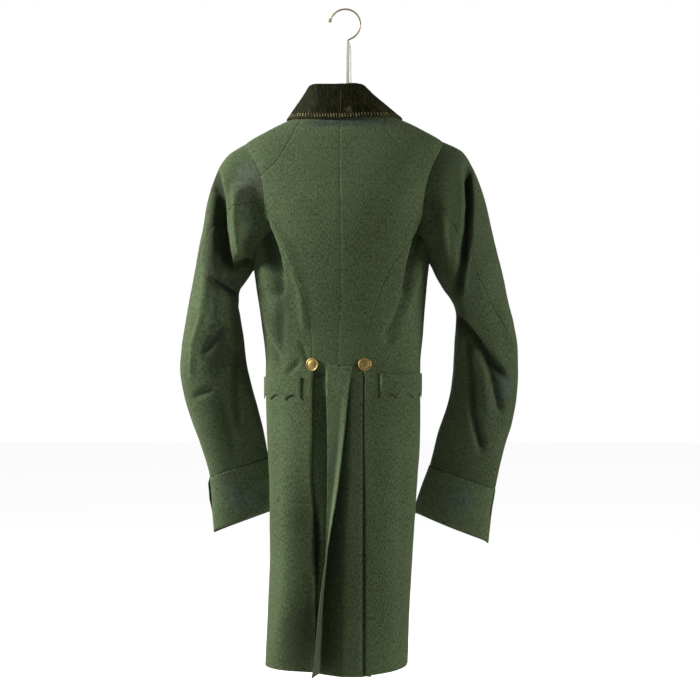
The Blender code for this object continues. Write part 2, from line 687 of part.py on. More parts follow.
def forepart_outline(side):
    """A forepart: shoulder, front, side and tail, round from the shoulder seam's neck end."""
    half = SEAM_GAP / 2
    neck = neck_run(side, SHOULDER_NECK_END + 0.4 * DEGREE, NECK_FRONT, 10)
    edge = []
    for v in run_down(NECK_HEIGHT(NECK_FRONT) - 12 * MM, WAIST + 4 * MM):
        edge.append((front_edge(side, v), float(v)))
    waist = []
    tail_top = float(TAIL_ANGLE(WAIST + 6 * MM)) * PATTERN_RADIUS * side
    for share in np.linspace(0, 1, 8)[1:]:
        waist.append((edge[-1][0] * (1 - share) + tail_top * share, WAIST + (4 + 2 * share) * MM))
    tail = []
    for v in run_down(WAIST - 14 * MM, HEM_AT_FRONT[side]):
        tail.append((side * float(TAIL_ANGLE(v)) * PATTERN_RADIUS, float(v)))
    hem_from = tail[-1][0]
    hem_to = float(pleat_line(side, HEM[side])) - side * PLEAT_RETURN
    hem = []
    for share in np.linspace(0, 1, 9)[1:]:
        drop = (HEM[side] - HEM_AT_FRONT[side]) * share ** HEM_CURVE[side]
        hem.append((hem_from * (1 - share) + hem_to * share, HEM_AT_FRONT[side] + drop))
    pleat = []
    for v in run_down(HEM[side], PLEAT_TOP)[1:]:
        under = PLEAT_RETURN * float(smooth_step(PLEAT_TOP, PLEAT_FULL, v))
        pleat.append((float(pleat_line(side, v)) - side * (under - half), float(v)))
    seam = moved(side_seam(side)[::-1], side * half)
    seam[0] = (float(pleat_line(side, WAIST)) + side * half, WAIST)
    lower = armhole_turn(SIDE_SEAM_END)
    upper = armhole_turn(SHOULDER_SEAM_END)
    scye = armhole_run(side, lower, 2 * math.pi + upper)
    scye = [armhole(side, lower + 0.01, ARMHOLE_GAP), *scye, armhole(side, upper - 0.01, ARMHOLE_GAP)]
    shoulder = moved(shoulder_seam(side)[::-1], side * half)[1:-1]
    return neck + edge + waist + tail + hem + pleat + seam[:-1] + scye + shoulder


def pleat_lines(side):
    """Lines down the pleat's roll, so that the roll stays round."""
    heights = run_down(PLEAT_TOP - 10 * MM, HEM[side] + 5 * MM)
    line = pleat_line(side, heights)
    lines = []
    for turn in (-40, 0, 60, 120, 180):
        lines.append(np.stack([line - side * turn * DEGREE * PLEAT_ROLL, heights], -1))
    return lines


def across_of(u, v):
    """How far across the trunk a pattern point lies, before any fold."""
    angle = u / PATTERN_RADIUS
    return abs(float(trunk_reach(angle, v) * np.sin(angle)))


def back_outline(side):
    """A back with its skirt, in distances from the centre seam, round from the nape."""
    half = SEAM_GAP / 2
    centre = [(half, float(v)) for v in run_down(NECK_HEIGHT(0), LAP_TOP)]
    if side > 0:
        lap_start = -LAP_WIDTH
        top = [(u, LAP_TOP) for u in np.linspace(half, lap_start, 4)[1:]]
    else:
        lap_start = half - VENT_UNDERLAP
        top = [(lap_start, LAP_TOP - 26 * MM)]
        centre.append((half, LAP_TOP - 20 * MM))
    first = LAP_TOP if side > 0 else LAP_TOP - 26 * MM
    vent = [(lap_start, float(v)) for v in run_down(first, HEM[side])[1:]]
    hem = [(float(u), HEM[side]) for u in np.linspace(lap_start, PLEAT_FROM_CENTRE + UNDERLAP, 8)[1:]]
    pleat = []
    for v in run_down(HEM[side], PLEAT_FULL + 8 * MM)[1:]:
        pleat.append((PLEAT_FROM_CENTRE + UNDERLAP, float(v)))
    pleat.append((PLEAT_FROM_CENTRE - half, PLEAT_TOP - 3 * MM))
    seam = []
    for u, v in side_seam(side)[::-1]:
        seam.append((across_of(u, v) - half, v))
    seam[0] = (PLEAT_FROM_CENTRE - half, WAIST)
    scye = []
    for u, v in armhole_run(side, armhole_turn(SHOULDER_SEAM_END), armhole_turn(SIDE_SEAM_END))[::-1]:
        scye.append((across_of(u, v), float(v)))
    shoulder = []
    for u, v in shoulder_seam(side)[::-1]:
        shoulder.append((across_of(u, v) - half * 1.4, v))
    neck = []
    for angle in np.linspace(SHOULDER_NECK_END - 4 * DEGREE, 5 * DEGREE, 6):
        height = float(NECK_HEIGHT(angle))
        neck.append((across_of(side * angle * PATTERN_RADIUS, height), height))
    return centre + top + vent + hem + pleat + seam + scye + shoulder + neck


def lapel_outline(side):
    """A turned-back lapel, lying on its forepart beside the front edge."""
    edge = []
    for v in run_down(NECK_HEIGHT(NECK_FRONT) - 16 * MM, LAPEL_BREAK, LAPEL_MESH):
        edge.append((front_edge(side, v), float(v)))
    points = [(side * row.across * MM, row.height * MM) for row in LAPEL]
    return edge + [(float(angle_across(x, z, -1)) * PATTERN_RADIUS, z) for x, z in points]


def flap_outline(side):
    """A scalloped pocket flap, lying on the skirt of its forepart at the hip; its inner edge hangs straight."""
    inner, top, depth = (value * MM for value in FLAP[side])
    outer = side * FLAP_OUTER * PATTERN_RADIUS
    at_top, at_foot = (float(angle_across(side * inner, v)) * PATTERN_RADIUS for v in (top, top - depth))
    count = FLAP_SCALLOPS * (FLAP_POINTS - 1)
    upper = [(at_top + (outer - at_top) * s, top) for s in np.linspace(0, 1, 11)]
    lower = []
    for i in range(count + 1):
        phase = (i % (FLAP_POINTS - 1)) / (FLAP_POINTS - 1)
        rise = FLAP_SCALLOP_RISE * math.sin(math.pi * phase) ** 0.75
        lower.append((outer + (at_foot - outer) * i / count, top - depth + rise))
    return upper + lower


def sleeve_columns(rows):
    index = range(len(rows))
    units = {"hind": DEGREE, "fore": DEGREE}
    return {
        name: curve(index, [getattr(row, name) * units.get(name, MM) for row in rows])
        for name in SleeveRow._fields
    }


def sleeve_face(side, rows, folds):
    """A sleeve's outer face by turn round it and by row down it; it starts at the armhole."""
    at = sleeve_columns(rows)

    def face(turn, row):
        turn, row = np.broadcast_arrays(np.asarray(turn, float), np.asarray(row, float))
        middle_x = (at["outer_x"](row) + at["inner_x"](row)) / 2
        middle_z = (at["outer_z"](row) + at["inner_z"](row)) / 2
        half_x = at["outer_x"](row) - middle_x
        half_z = at["outer_z"](row) - middle_z
        across, deep = np.cos(turn), np.sin(turn)
        x = middle_x + half_x * across
        z = middle_z + half_z * across
        y = at["middle_y"](row) + at["half_y"](row) * deep
        length = np.hypot(half_x, half_z)
        out = fold_out(folds, x, z) * smooth_step(0.05, 0.6, deep) * smooth_step(0.3, 1.2, row)
        x = x + out * across * half_x / length
        z = z + out * across * half_z / length
        y = y + out * deep
        u, v = armhole(side, turn)
        start = wrapped(u, v)
        leave = smooth_step(0, 1, row)[..., None]
        return start * (1 - leave) + np.stack([side * x, y, z], -1) * leave

    return face, at


def sleeve_piece(name, face, turns_at, first, last, material, proud=0.0):
    """A lengthwise piece of a sleeve: turns_at gives the turns of its points at each row."""
    rows = np.linspace(first, last, max(3, round((last - first) * SLEEVE_ROW_STEPS) + 1))
    turn = np.array([turns_at(row) for row in rows])
    row = np.repeat(rows[:, None], SLEEVE_STEPS, axis=1)
    here = face(turn, row)
    round_it = face(turn + 0.004, row) - here
    down_it = face(turn, row + 0.01) - face(turn, row - 0.01)
    normal = np.cross(round_it, down_it)
    normal = normal / np.linalg.norm(normal, axis=-1, keepdims=True)
    middle = face(np.linspace(0, 2 * math.pi, 13)[None, :-1], rows[:, None]).mean(axis=1, keepdims=True)
    normal = normal * np.sign(np.sum(normal * (here - middle), axis=-1, keepdims=True))
    outer = here + normal * proud
    return grid_cloth(name, outer, outer - normal * (WALL + proud * 0.3), material)


def make_sleeve(word, side, rows, folds, wool):
    face, at = sleeve_face(side, rows, folds)
    last = len(rows) - 1

    def turns(under, slit):
        def at_row(row):
            hind, fore = float(at["hind"](row)), float(at["fore"](row))
            return piece_turns(hind + (slit if under else -slit), fore, under)

        return at_row

    for under, where in ((False, "upper"), (True, "under")):
        name = f"sleeve_{word}_{where}"
        sleeve_piece(name, face, turns(under, 0), 0, CUFF_ROW - CUFF_GAP, wool)
        name = f"cuff_{word}_{where}"
        first = CUFF_ROW + CUFF_GAP
        sleeve_piece(name, face, turns(under, CUFF_SLIT), first, last, wool, CUFF_PROUD)


COLLAR_AT = [column(COLLAR, "angle", name, key_unit=DEGREE) for name in CollarRow._fields[1:]]


def collar_profile(angle):
    """The collar's middle line at one angle, from the neck seam over the roll to the fall's edge."""
    rise, inward, full, edge_z = (float(f(abs(angle))) for f in COLLAR_AT)
    neck_z = float(NECK_HEIGHT(abs(angle)))
    reach = float(trunk_reach(angle, neck_z))
    out = np.array([math.sin(angle), math.cos(angle), 0])
    up = np.array([0, 0, 1])
    lean = np.array([COLLAR_LEAN, 0, 0]) * (rise / (64 * MM)) ** 0.5
    neck = out * (reach - WALL / 2) + up * (neck_z + SEAM_GAP * 3)
    top = out * (reach - inward) + up * (neck_z + rise) + lean
    inner = top - (out + up) * COLLAR_ROLL
    outer = top + (out - up) * COLLAR_ROLL
    _, away = normals_of(wrapped, np.array([angle * PATTERN_RADIUS]), np.array([edge_z]), -1)
    edge = trunk(angle, edge_z) + away[0] * (COLLAR_WALL / 2 + 1 * MM)
    fall = []
    for share in (0.33, 0.66):
        point = outer * (1 - share) + edge * share + out * full
        if point[2] < neck_z + 3 * MM:
            short = trunk_reach(angle, point[2]) + COLLAR_WALL / 2 + 1.6 * MM - float(point @ out)
            point = point + out * max(0, short)
        fall.append(point)
    return [neck, neck * 0.5 + inner * 0.5, inner, top, outer, *fall, edge]


def make_collar(velvet):
    angles = np.linspace(-COLLAR_END, COLLAR_END, COLLAR_STEPS + 1)
    middle = np.array([collar_profile(a) for a in angles])
    along = np.gradient(middle, axis=0)
    over = np.gradient(middle, axis=1)
    normal = np.cross(along, over)
    normal = normal / np.linalg.norm(normal, axis=-1, keepdims=True)
    half = COLLAR_WALL / 2
    return grid_cloth("collar", middle + normal * half, middle - normal * half, velvet)


def turned(name, profile, material, steps=16):
    """A round piece turned about its own Z from a profile of radius and height, top to bottom."""
    mesh = bpy.data.meshes.new(name)
    points = [(r, 0, z) for r, z in profile]
    mesh.from_pydata(points, [(i, i + 1) for i in range(len(points) - 1)], [])
    part = new_part(name, mesh, material)
    screw = part.modifiers.new("turn", "SCREW")
    screw.steps = screw.render_steps = steps
    screw.use_merge_vertices = True
    screw.merge_threshold = 0.00001
    screw.use_smooth_shade = True
    return part


def button_profile(diameter):
    """A domed metal button with a raised rim and a sunk ring, on a short shank."""
    r = diameter / 2
    profile = [(r * row.share, row.height * MM) for row in BUTTON]
    return profile + [(BUTTON_SHANK, 0.8 * MM), (BUTTON_SHANK, 0), (0, 0)]


def sew_button(name, diameter, face, u, v, outward, material):
    """Stands a button on a face of cloth, its shank just clear of it."""
    button = turned(name, button_profile(diameter), material)
    here, normal = normals_of(face, np.array([u]), np.array([v]), outward)
    button.location = Vector(here[0] + normal[0] * SEAM_GAP)
    button.rotation_euler = Vector(normal[0]).to_track_quat("Z", "Y").to_euler()
    return button


def shoulder_height(x, y):
    """Height at which the trunk's outer face closes over a point of the plan."""
    low, high = -150 * MM, 10 * MM
    for _ in range(40):
        middle = (low + high) / 2
        reach = float(trunk_reach(math.atan2(x, y), middle))
        low, high = (middle, high) if math.hypot(x, y) < reach else (low, middle)
    return low


def make_hanger(wood, metal):
    """A shaped hanger under the shoulders, with a turned shank and a wire hook."""
    bar = bmesh.new()
    rings = []
    for x in np.linspace(-HANGER_HALF_SPAN, HANGER_HALF_SPAN, HANGER_STEPS + 1):
        near = max(abs(x), 58 * MM)
        across = math.copysign(near, x) if x else near
        top = min(shoulder_height(across, 0), shoulder_height(across + SHANK_OFF_HOOK - COAT_OFF_HOOK, 0))
        top -= HANGER_UNDER + HANGER_END_DROP * (abs(x) / HANGER_HALF_SPAN) ** 4
        top -= (near - min(max(abs(x), 20 * MM), near)) * 0.1
        taper = 1 - 0.35 * (abs(x) / HANGER_HALF_SPAN) ** 3
        ring = []
        for turn in np.linspace(0, 2 * math.pi, 13)[:-1]:
            y = HANGER_THICK / 2 * taper * math.sin(turn)
            z = top - HANGER_DEEP / 2 * (1 - math.cos(turn)) * taper
            ring.append(bar.verts.new((x, y, z)))
        rings.append(ring)
    for a, b in zip(rings, rings[1:]):
        for i in range(12):
            j = (i + 1) % 12
            bar.faces.new((a[i], a[j], b[j], b[i]))
    bar.faces.new(rings[0])
    bar.faces.new(rings[-1][::-1])
    bmesh.ops.recalc_face_normals(bar, faces=bar.faces)
    mesh = bpy.data.meshes.new("hanger_bar")
    bar.to_mesh(mesh)
    bar.free()
    hanger = new_part("hanger_bar", mesh, wood)
    hanger.parent = None
    hanger.location = (SHANK_OFF_HOOK, 0, -HOOK_TO_NAPE)
    bar_top = max(v.co.z for v in mesh.vertices if abs(v.co.x) < 20 * MM) - HOOK_TO_NAPE
    ferrule = [(0, 0), (2.8, 0), (4.6, -3), (5.4, -7), (5.4, -10.5), (7, -11.5)]
    profile = [(radius * MM, SHANK_TOP + z * MM) for radius, z in ferrule]
    profile += [(SHANK_RADIUS, bar_top + SEAM_GAP), (0, bar_top + SEAM_GAP)]
    shank = turned("hanger_shank", profile, metal, 24)
    shank.parent = None
    shank.location.x = SHANK_OFF_HOOK


def make_hook(metal):
    """A round wire hook that springs from the shank's top and ends in a small ball."""
    centre = Vector((0, 0, -HOOK_RADIUS))
    route = [Vector((SHANK_OFF_HOOK, 0, SHANK_TOP + SEAM_GAP))]
    route.append(route[0] + Vector((-0.2 * MM, 0, 2 * MM)))
    for degrees in range(HOOK_FROM, HOOK_TO + 1, 9):
        turn = degrees * DEGREE
        route.append(centre + Vector((-math.cos(turn), 0, math.sin(turn))) * (HOOK_RADIUS + HOOK_WIRE))
    line = bpy.data.curves.new("hanger_hook", "CURVE")
    line.dimensions = "3D"
    line.bevel_depth = HOOK_WIRE
    line.bevel_resolution = 2
    line.use_fill_caps = True
    path = line.splines.new("POLY")
    path.points.add(len(route) - 1)
    for point, place in zip(path.points, route):
        point.co = (*place, 1)
    hook = bpy.data.objects.new("hanger_hook", line)
    COLLECTION.objects.link(hook)
    line.materials.append(metal)

    tip = bpy.data.meshes.new("hanger_tip")
    ball = bmesh.new()
    bmesh.ops.create_uvsphere(ball, u_segments=14, v_segments=9, radius=HOOK_TIP)
    ball.to_mesh(tip)
    ball.free()
    knob = bpy.data.objects.new("hanger_tip", tip)
    COLLECTION.objects.link(knob)
    knob.location = route[-1] + (route[-1] - route[-2]).normalized() * (HOOK_TIP + SEAM_GAP)
    tip.materials.append(metal)


def finish_of(name, colour, roughness, metallic=0.0):
    material = bpy.data.materials.new(name)
    material.use_nodes = True
    shader = material.node_tree.nodes["Principled BSDF"]
    shader.inputs["Base Color"].default_value = (*colour, 1)
    shader.inputs["Roughness"].default_value = roughness
    shader.inputs["Metallic"].default_value = metallic
    return material


def build_coat():
    wool = finish_of("green_wool", (0.075, 0.1, 0.055), 0.95)
    velvet = finish_of("collar_velvet", (0.016, 0.017, 0.009), 0.9)
    gilt = finish_of("gilt_brass", (0.55, 0.36, 0.12), 0.35, 1.0)
    wood = finish_of("pale_wood", (0.5, 0.36, 0.22), 0.5)
    metal = finish_of("polished_metal", (0.75, 0.68, 0.52), 0.2, 1.0)
    for side, word in ((1, "left"), (-1, "right")):
        forepart = forepart_cloth(side)
        back = back_cloth(side)
        cut_cloth(f"back_{word}", back_outline(side), back, -side, wool, mesh=19 * MM)
        cut_cloth(f"forepart_{word}", forepart_outline(side), forepart, -1, wool, lines=pleat_lines(side))
        cut_cloth(f"lapel_{word}", lapel_outline(side), wrapped, -1, wool, mesh=LAPEL_MESH, lift=LAID_ON)
        cut_cloth(f"flap_{word}", flap_outline(side), wrapped, -1, wool, mesh=13 * MM, lift=LAID_ON)
        at_seam = float(pleat_line(side, WAIST))
        sew_button(f"waist_button_{word}", WAIST_BUTTON, wrapped, at_seam, WAIST, -1, gilt)
    make_sleeve("left", 1, LEFT_SLEEVE, LEFT_SLEEVE_FOLDS, wool)
    make_sleeve("right", -1, RIGHT_SLEEVE, RIGHT_SLEEVE_FOLDS, wool)
    make_collar(velvet)
    make_hanger(wood, metal)
    make_hook(metal)


for old in list(bpy.data.objects):
    bpy.data.objects.remove(old)
COLLECTION = bpy.data.collections.new("tailcoat")
bpy.context.scene.collection.children.link(COLLECTION)
COAT = bpy.data.objects.new("coat", None)
COLLECTION.objects.link(COAT)
COAT.location = (COAT_OFF_HOOK, 0, -HOOK_TO_NAPE)
build_coat()
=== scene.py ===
"""The looks of the tailcoat on its hanger: fine cloth shells, collar, buttons, hanger and their finishes.

Every piece stands for the solid of the same place. The coat's own measures are taken from its nape, as in
the part's source, and set down at the hanger's hook at the end.
"""

import math
from collections import namedtuple

import bpy
import numpy as np
from mathutils import Matrix, Vector, geometry, noise


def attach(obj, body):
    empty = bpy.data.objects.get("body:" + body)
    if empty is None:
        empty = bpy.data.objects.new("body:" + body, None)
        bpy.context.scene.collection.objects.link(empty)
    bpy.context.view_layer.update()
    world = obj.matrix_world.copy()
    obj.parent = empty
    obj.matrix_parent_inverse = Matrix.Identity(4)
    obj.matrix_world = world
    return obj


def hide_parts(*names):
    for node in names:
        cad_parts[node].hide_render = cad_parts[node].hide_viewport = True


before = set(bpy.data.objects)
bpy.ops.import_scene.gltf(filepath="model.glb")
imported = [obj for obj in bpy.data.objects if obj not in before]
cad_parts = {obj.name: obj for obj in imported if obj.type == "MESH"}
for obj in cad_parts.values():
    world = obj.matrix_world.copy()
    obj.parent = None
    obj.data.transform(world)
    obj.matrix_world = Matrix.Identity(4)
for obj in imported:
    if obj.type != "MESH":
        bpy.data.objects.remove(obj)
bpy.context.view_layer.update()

MM = 0.001
DEGREE = math.pi / 180

# ---------------------------------------------------------------- camera, light and floor
PHOTO_SIZE = 700
PHOTO_SCALE = 1.765 * MM
CAMERA_AWAY = 3.4
CAMERA_TURN = 6 * DEGREE
CAMERA_AIM = Vector((-8.8 * MM, 0, -600 * MM))
# Lamps: name, place, size, watts and colour
LAMPS = [
    ("key", (3.0, 0.65, 0.75), 0.7, 185, (0.96, 1.0, 1.0)),
    ("fill", (-3.0, 0.8, -0.25), 1.0, 62, (0.97, 0.99, 1.0)),
    ("front", (0.8, -2.8, 0.7), 2.0, 40, (1.0, 0.99, 0.97)),
]
# The floor and the sky light the coat little, and are seen nearly white behind it
FLOOR_LEVEL = -1.42
FLOOR_COLOUR = (0.45, 0.45, 0.445, 1)
FLOOR_GLOW = 0.0
FLOOR_SEEN = 0.9
SKY_LIGHT = 0.12
SKY_SEEN = 1.0


def look_from(thing, place, aim):
    thing.location = place
    thing.rotation_euler = (Vector(place) - Vector(aim)).to_track_quat("Z", "Y").to_euler()


def set_camera():
    lens = bpy.data.cameras.new("camera")
    lens.angle = 2 * math.atan(PHOTO_SIZE / 2 * PHOTO_SCALE / CAMERA_AWAY)
    camera = bpy.data.objects.new("camera", lens)
    bpy.context.scene.collection.objects.link(camera)
    back = Vector((-math.sin(CAMERA_TURN), math.cos(CAMERA_TURN), 0))
    look_from(camera, CAMERA_AIM + back * CAMERA_AWAY, CAMERA_AIM)
    bpy.context.scene.camera = camera


def soft_light(name, place, size, watts, colour):
    lamp = bpy.data.lights.new(name, "AREA")
    lamp.shape = "DISK"
    lamp.size = size
    lamp.energy = watts
    lamp.color = colour
    light = bpy.data.objects.new(name, lamp)
    bpy.context.scene.collection.objects.link(light)
    look_from(light, place, CAMERA_AIM)


def set_studio():
    for lamp in LAMPS:
        soft_light(*lamp)
    sky = bpy.data.worlds.new("studio")
    sky.use_nodes = True
    tree = sky.node_tree
    shade = tree.nodes["Background"]
    shade.inputs["Color"].default_value = (1, 1, 1, 1)
    seen = add(tree, "ShaderNodeLightPath").outputs["Is Camera Ray"]
    tree.links.new(ranged(tree, seen, 0, 1, SKY_LIGHT, SKY_SEEN), shade.inputs["Strength"])
    bpy.context.scene.world = sky
    bpy.context.scene.view_settings.view_transform = "Standard"
    place = (0, 0, FLOOR_LEVEL)
    bpy.ops.mesh.primitive_circle_add(vertices=96, radius=14, fill_type="NGON", location=place)
    floor = bpy.context.object
    floor.name = "floor"
    looks = {"Base_Color": FLOOR_COLOUR, "Emission_Color": (1, 1, 1, 1)}
    finish, tree, shader, _ = start_finish("pale_floor", Roughness=0.9, **looks)
    seen = add(tree, "ShaderNodeLightPath").outputs["Is Camera Ray"]
    glow = ranged(tree, seen, 0, 1, FLOOR_GLOW, FLOOR_SEEN)
    tree.links.new(glow, shader.inputs["Emission Strength"])
    floor.data.materials.append(finish)


# ---------------------------------------------------------------- the coat's measures, from its nape
HOOK_TO_NAPE = 194 * MM
COAT_OFF_HOOK = 1.6 * MM
WALL = 2.0 * MM
SEAM_GAP = -0.08 * MM
ARMHOLE_GAP = -0.05 * MM
BUTTON_GAP = 0.3 * MM
WAIST = -431 * MM
HEM = {1: -967 * MM, -1: -972 * MM}
HEM_AT_FRONT = {1: -961 * MM, -1: -956 * MM}
HEM_CURVE = {1: 0.8, -1: 1.0}
PATTERN_RADIUS = 140 * MM
NUDGE = 0.4 * MM
CLOTH_MESH = 4.6 * MM
BACK_MESH = 5 * MM
FLAP_MESH = 4 * MM
EDGE_STEP = 5 * MM
LINE_ABOVE_HEM = 5 * MM
# Shares of a mesh's step: a row's height, and how far its points stay from the edge's rings and from lines
ROW_HEIGHT = 0.87
RING_CLEAR = 0.55
LINE_CLEAR = 0.25
RING_KEPT = 0.86

ARMHOLE_MIDDLE = -147 * MM
ARMHOLE_HALF_HEIGHT = 107 * MM
ARMHOLE_BACK = {1: 25 * DEGREE, -1: 20 * DEGREE}
ARMHOLE_FRONT = 29 * DEGREE
ARMHOLE_SHARPNESS = 1.25
ARMHOLE_STEPS = 280
ARMHOLE_CORNER = 0.04
SEAM_BLEND = 90 * MM
SHOULDER_SEAM_TAKEN = 1.4
SHOULDER_SEAM_END = -103 * MM
SIDE_SEAM_END = -176 * MM

PLEAT_FROM_CENTRE = 45.5 * MM
PLEAT_TOP = WAIST - 8 * MM
PLEAT_FULL = WAIST - 28 * MM
PLEAT_RETURN = 22 * MM
PLEAT_ROLL = 2.8 * MM
PLEAT_BELOW_TOP = 3 * MM
PLEAT_ABOVE_FULL = 8 * MM
ROLL_LINES = (-40 * DEGREE, 0, 60 * DEGREE, 120 * DEGREE, 180 * DEGREE)
ROLL_LINES_BELOW_TOP = 10 * MM
BACK_RECESS = 7.5 * MM
RECESS_BELOW_WAIST = 3 * MM
RECESS_RISE = 17 * MM
RECESS_RISES = (15 * MM, 42 * MM)
RECESS_FADE = 24 * MM
UNDERLAP = 24 * MM
UNDERLAP_RISE = 7 * MM
UNDERLAP_RISE_STARTS = 3 * MM
CENTRE_BELOW_LAP = 20 * MM
LAP_WIDTH = 24 * MM
LAP_TOP = WAIST - 3 * MM
LAP_LIFT = 3.0 * MM
LAP_LIFT_REACH = 4 * MM
LAP_VALLEY = 24 * MM
LAP_TOP_BLUR = 1.5 * MM
LAP_FADE = 20 * MM
LAP_ABOVE_WAIST = 4 * MM
LAP_SOFTNESS = 0.15
LAP_LINES_BELOW_TOP = 8 * MM
LAP_TOP_LINE = (2 * MM, LAP_VALLEY - 1 * MM, 6)
VALLEY_LINES = (1 * MM, -1 * MM, -5 * MM)
# Shares of the skirt's length: where the lap starts, is held at its top, and grows soft
LAP_STARTS = (0, 0.03)
LAP_HELD = (0.12, 0.02)
LAP_SOFTENS = (0.15, 0.5)
SLIT_WIDTH = 3.5 * MM
SLIT_STEP = 0.25
VENT_UNDERLAP = 12 * MM
VENT_UNDERLAP_TOP = LAP_TOP - 26 * MM
VENT_DIVES = (22 * MM, 10 * MM)
VENT_TUCKS = (20 * MM, -6 * MM)
TUCK_BEHIND = 6 * MM

FRONT_EDGE_AT_NECK = 3 * MM
FRONT_EDGE_AT_WAIST = 12 * MM
NECK_FRONT = 166 * DEGREE
BELOW_NOTCH = 12 * MM
FRONT_HEM_RISE = 4 * MM
TAIL_RISE = 6 * MM
TAIL_BELOW_WAIST = 14 * MM
SHOULDER_NECK_END = 71 * DEGREE
NECK_CORNER_FRONT = 0.4 * DEGREE
NECK_CORNER_BACK = 2 * DEGREE
LAPEL_BREAK = -262 * MM
LAPEL_BELOW_NECK = 16 * MM

# A pocket flap's inner edge and top on each side, and how deep it hangs
FLAP = {1: (66 * MM, -453 * MM, 40 * MM), -1: (70.6 * MM, -447 * MM, 43 * MM)}
FLAP_OUTER = 117 * DEGREE
FLAP_SCALLOPS = 5
FLAP_SCALLOP_RISE = 9 * MM
FLAP_SCALLOP_ROUND = 0.75
FLAP_POINTS = 14
LAID_ON = 1.1 * MM

COLLAR_END = 140 * DEGREE
COLLAR_WALL = 2.4 * MM
COLLAR_ROLL = 3.2 * MM
COLLAR_LEAN = 12 * MM
COLLAR_INSIDE_NECK = 0.3 * MM
COLLAR_BELOW_NECK = 4.5 * MM
COLLAR_LEAN_AT = 64 * MM
COLLAR_FULL = 1 * MM
COLLAR_EDGE_CLEAR = 1 * MM
COLLAR_FALL_CLEAR = 1.6 * MM
COLLAR_FALL_NEAR = 3 * MM
COLLAR_FALL_SHARES = (0.33, 0.66)


def table(columns, *rows):
    """A table's rows with named columns; lengths are in millimetres, angles in degrees."""
    row = namedtuple("row", columns)
    return [row(*values) for values in rows]


# The trunk of the coat, by height above the nape: half widths on the wearer's left and right, reach to
# the back and to the front of the shoulder line, and how square the section is (2 is an ellipse)
TRUNK = table(
    "height left right back front square",
    (-985, 141, 111, 72, 70, 2.3),
    (-871, 136, 115, 74, 72, 2.3),
    (-764, 132, 121, 76, 74, 2.3),
    (-640, 133, 129, 77, 76, 2.3),
    (-551, 137, 134, 78, 78, 2.3),
    (-488, 138.5, 134.5, 76, 80, 2.3),
    (-431, 139.5, 134.5, 70, 82, 2.25),
    (-380, 144, 139, 74, 87, 2.25),
    (-317, 152, 144, 84, 95, 2.25),
    (-254, 161, 150, 92, 100, 2.2),
    (-200, 163, 157, 96, 98, 2.2),
    (-150, 169, 167, 95, 92, 2.2),
    (-103, 180, 180, 88, 82, 2.15),
    (-70, 186, 186, 80, 72, 2.1),
    (-54, 183, 183, 75, 67, 2.1),
    (-42, 175, 175, 71, 63, 2.1),
    (-21, 141, 141, 62, 56, 2.1),
    (0, 98, 98, 50, 46, 2.05),
    (10, 72, 72, 40, 40, 2.0),
)

# How far the middle of the back strays to the wearer's left, by height
STRAY = table(
    "height across",
    (-985, 2.6),
    (-425, 2.6),
    (-375, 0.9),
    (-305, -4.4),
    (-237, -5.0),
    (-166, -4.6),
    (-97, -2.3),
    (-36, 0),
    (10, 0),
)

# The neck seam, by angle from the centre back
NECK = table(
    "angle height",
    (0, 0),
    (30, 1),
    (64, 6),
    (90, 8),
    (112, 1),
    (130, -19),
    (150, -52),
    (170, -84),
)

# The curved side seam of the back, by height: distance from the centre back seam
SIDE_SEAM = table(
    "height across",
    (-431, 45.5),
    (-395, 47),
    (-345, 55),
    (-300, 69),
    (-250, 94),
    (-212, 115),
    (-176, 129),
)

# The fold where each forepart's skirt rolls under, by height: distance from the centre back
PLEAT = table(
    "height left right",
    (-985, 52.7, 48.3),
    (-802, 53.6, 48.3),
    (-733, 55.3, 48.3),
    (-650, 54.8, 48.3),
    (-595, 51.5, 48.3),
    (-545, 48.3, 48.3),
    (-459, 48.3, 48.3),
    (-439, 45.5, 45.5),
    (-431, 45.5, 45.5),
)

# The shoulder seam, which slants across the back of the shoulder: distance from the centre back seam
SHOULDER_SEAM = table(
    "height across",
    (-103, 135),
    (-75, 105),
    (-40, 88),
    (6, 70),
)

# The front edge of each tail, by height: angle from the centre back
TAIL_FRONT = table(
    "height angle",
    (-985, 99),
    (-800, 102),
    (-600, 109),
    (-480, 118),
    (-425, 128),
)

# The free left skirt of the back, by share of the skirt's length below the waist: where its valley lies
# and where its free edge hangs, across from the centre and out from the trunk, and how far the right
# skirt's free edge reaches behind it
LAP = table(
    "share valley_across valley_out edge_across edge_out underlap_across",
    (0.00, 23, 0, -24, 3.2, 12),
    (0.02, 23, -7, -23, 2.8, 12),
    (0.05, 22, -9, -21, 3.6, 12),
    (0.30, 18.5, -16, -7, 7, 16),
    (0.60, 21.5, -24, 17, 22, 33),
    (0.80, 29.5, -23, 32.5, 40, 41),
    (1.00, 34.5, -18, 48, 54, 47),
)

# Folds of the cloth: from one point down to another across and up the coat, half widths on the side away
# from zero and on the side of zero or of the wearer's right, and depth out (a trough is negative). Across
# is from the coat's middle, positive on the wearer's left, and on a sleeve positive away from the body.
FOLD_COLUMNS = "x0 z0 x1 z1 outer inner depth"
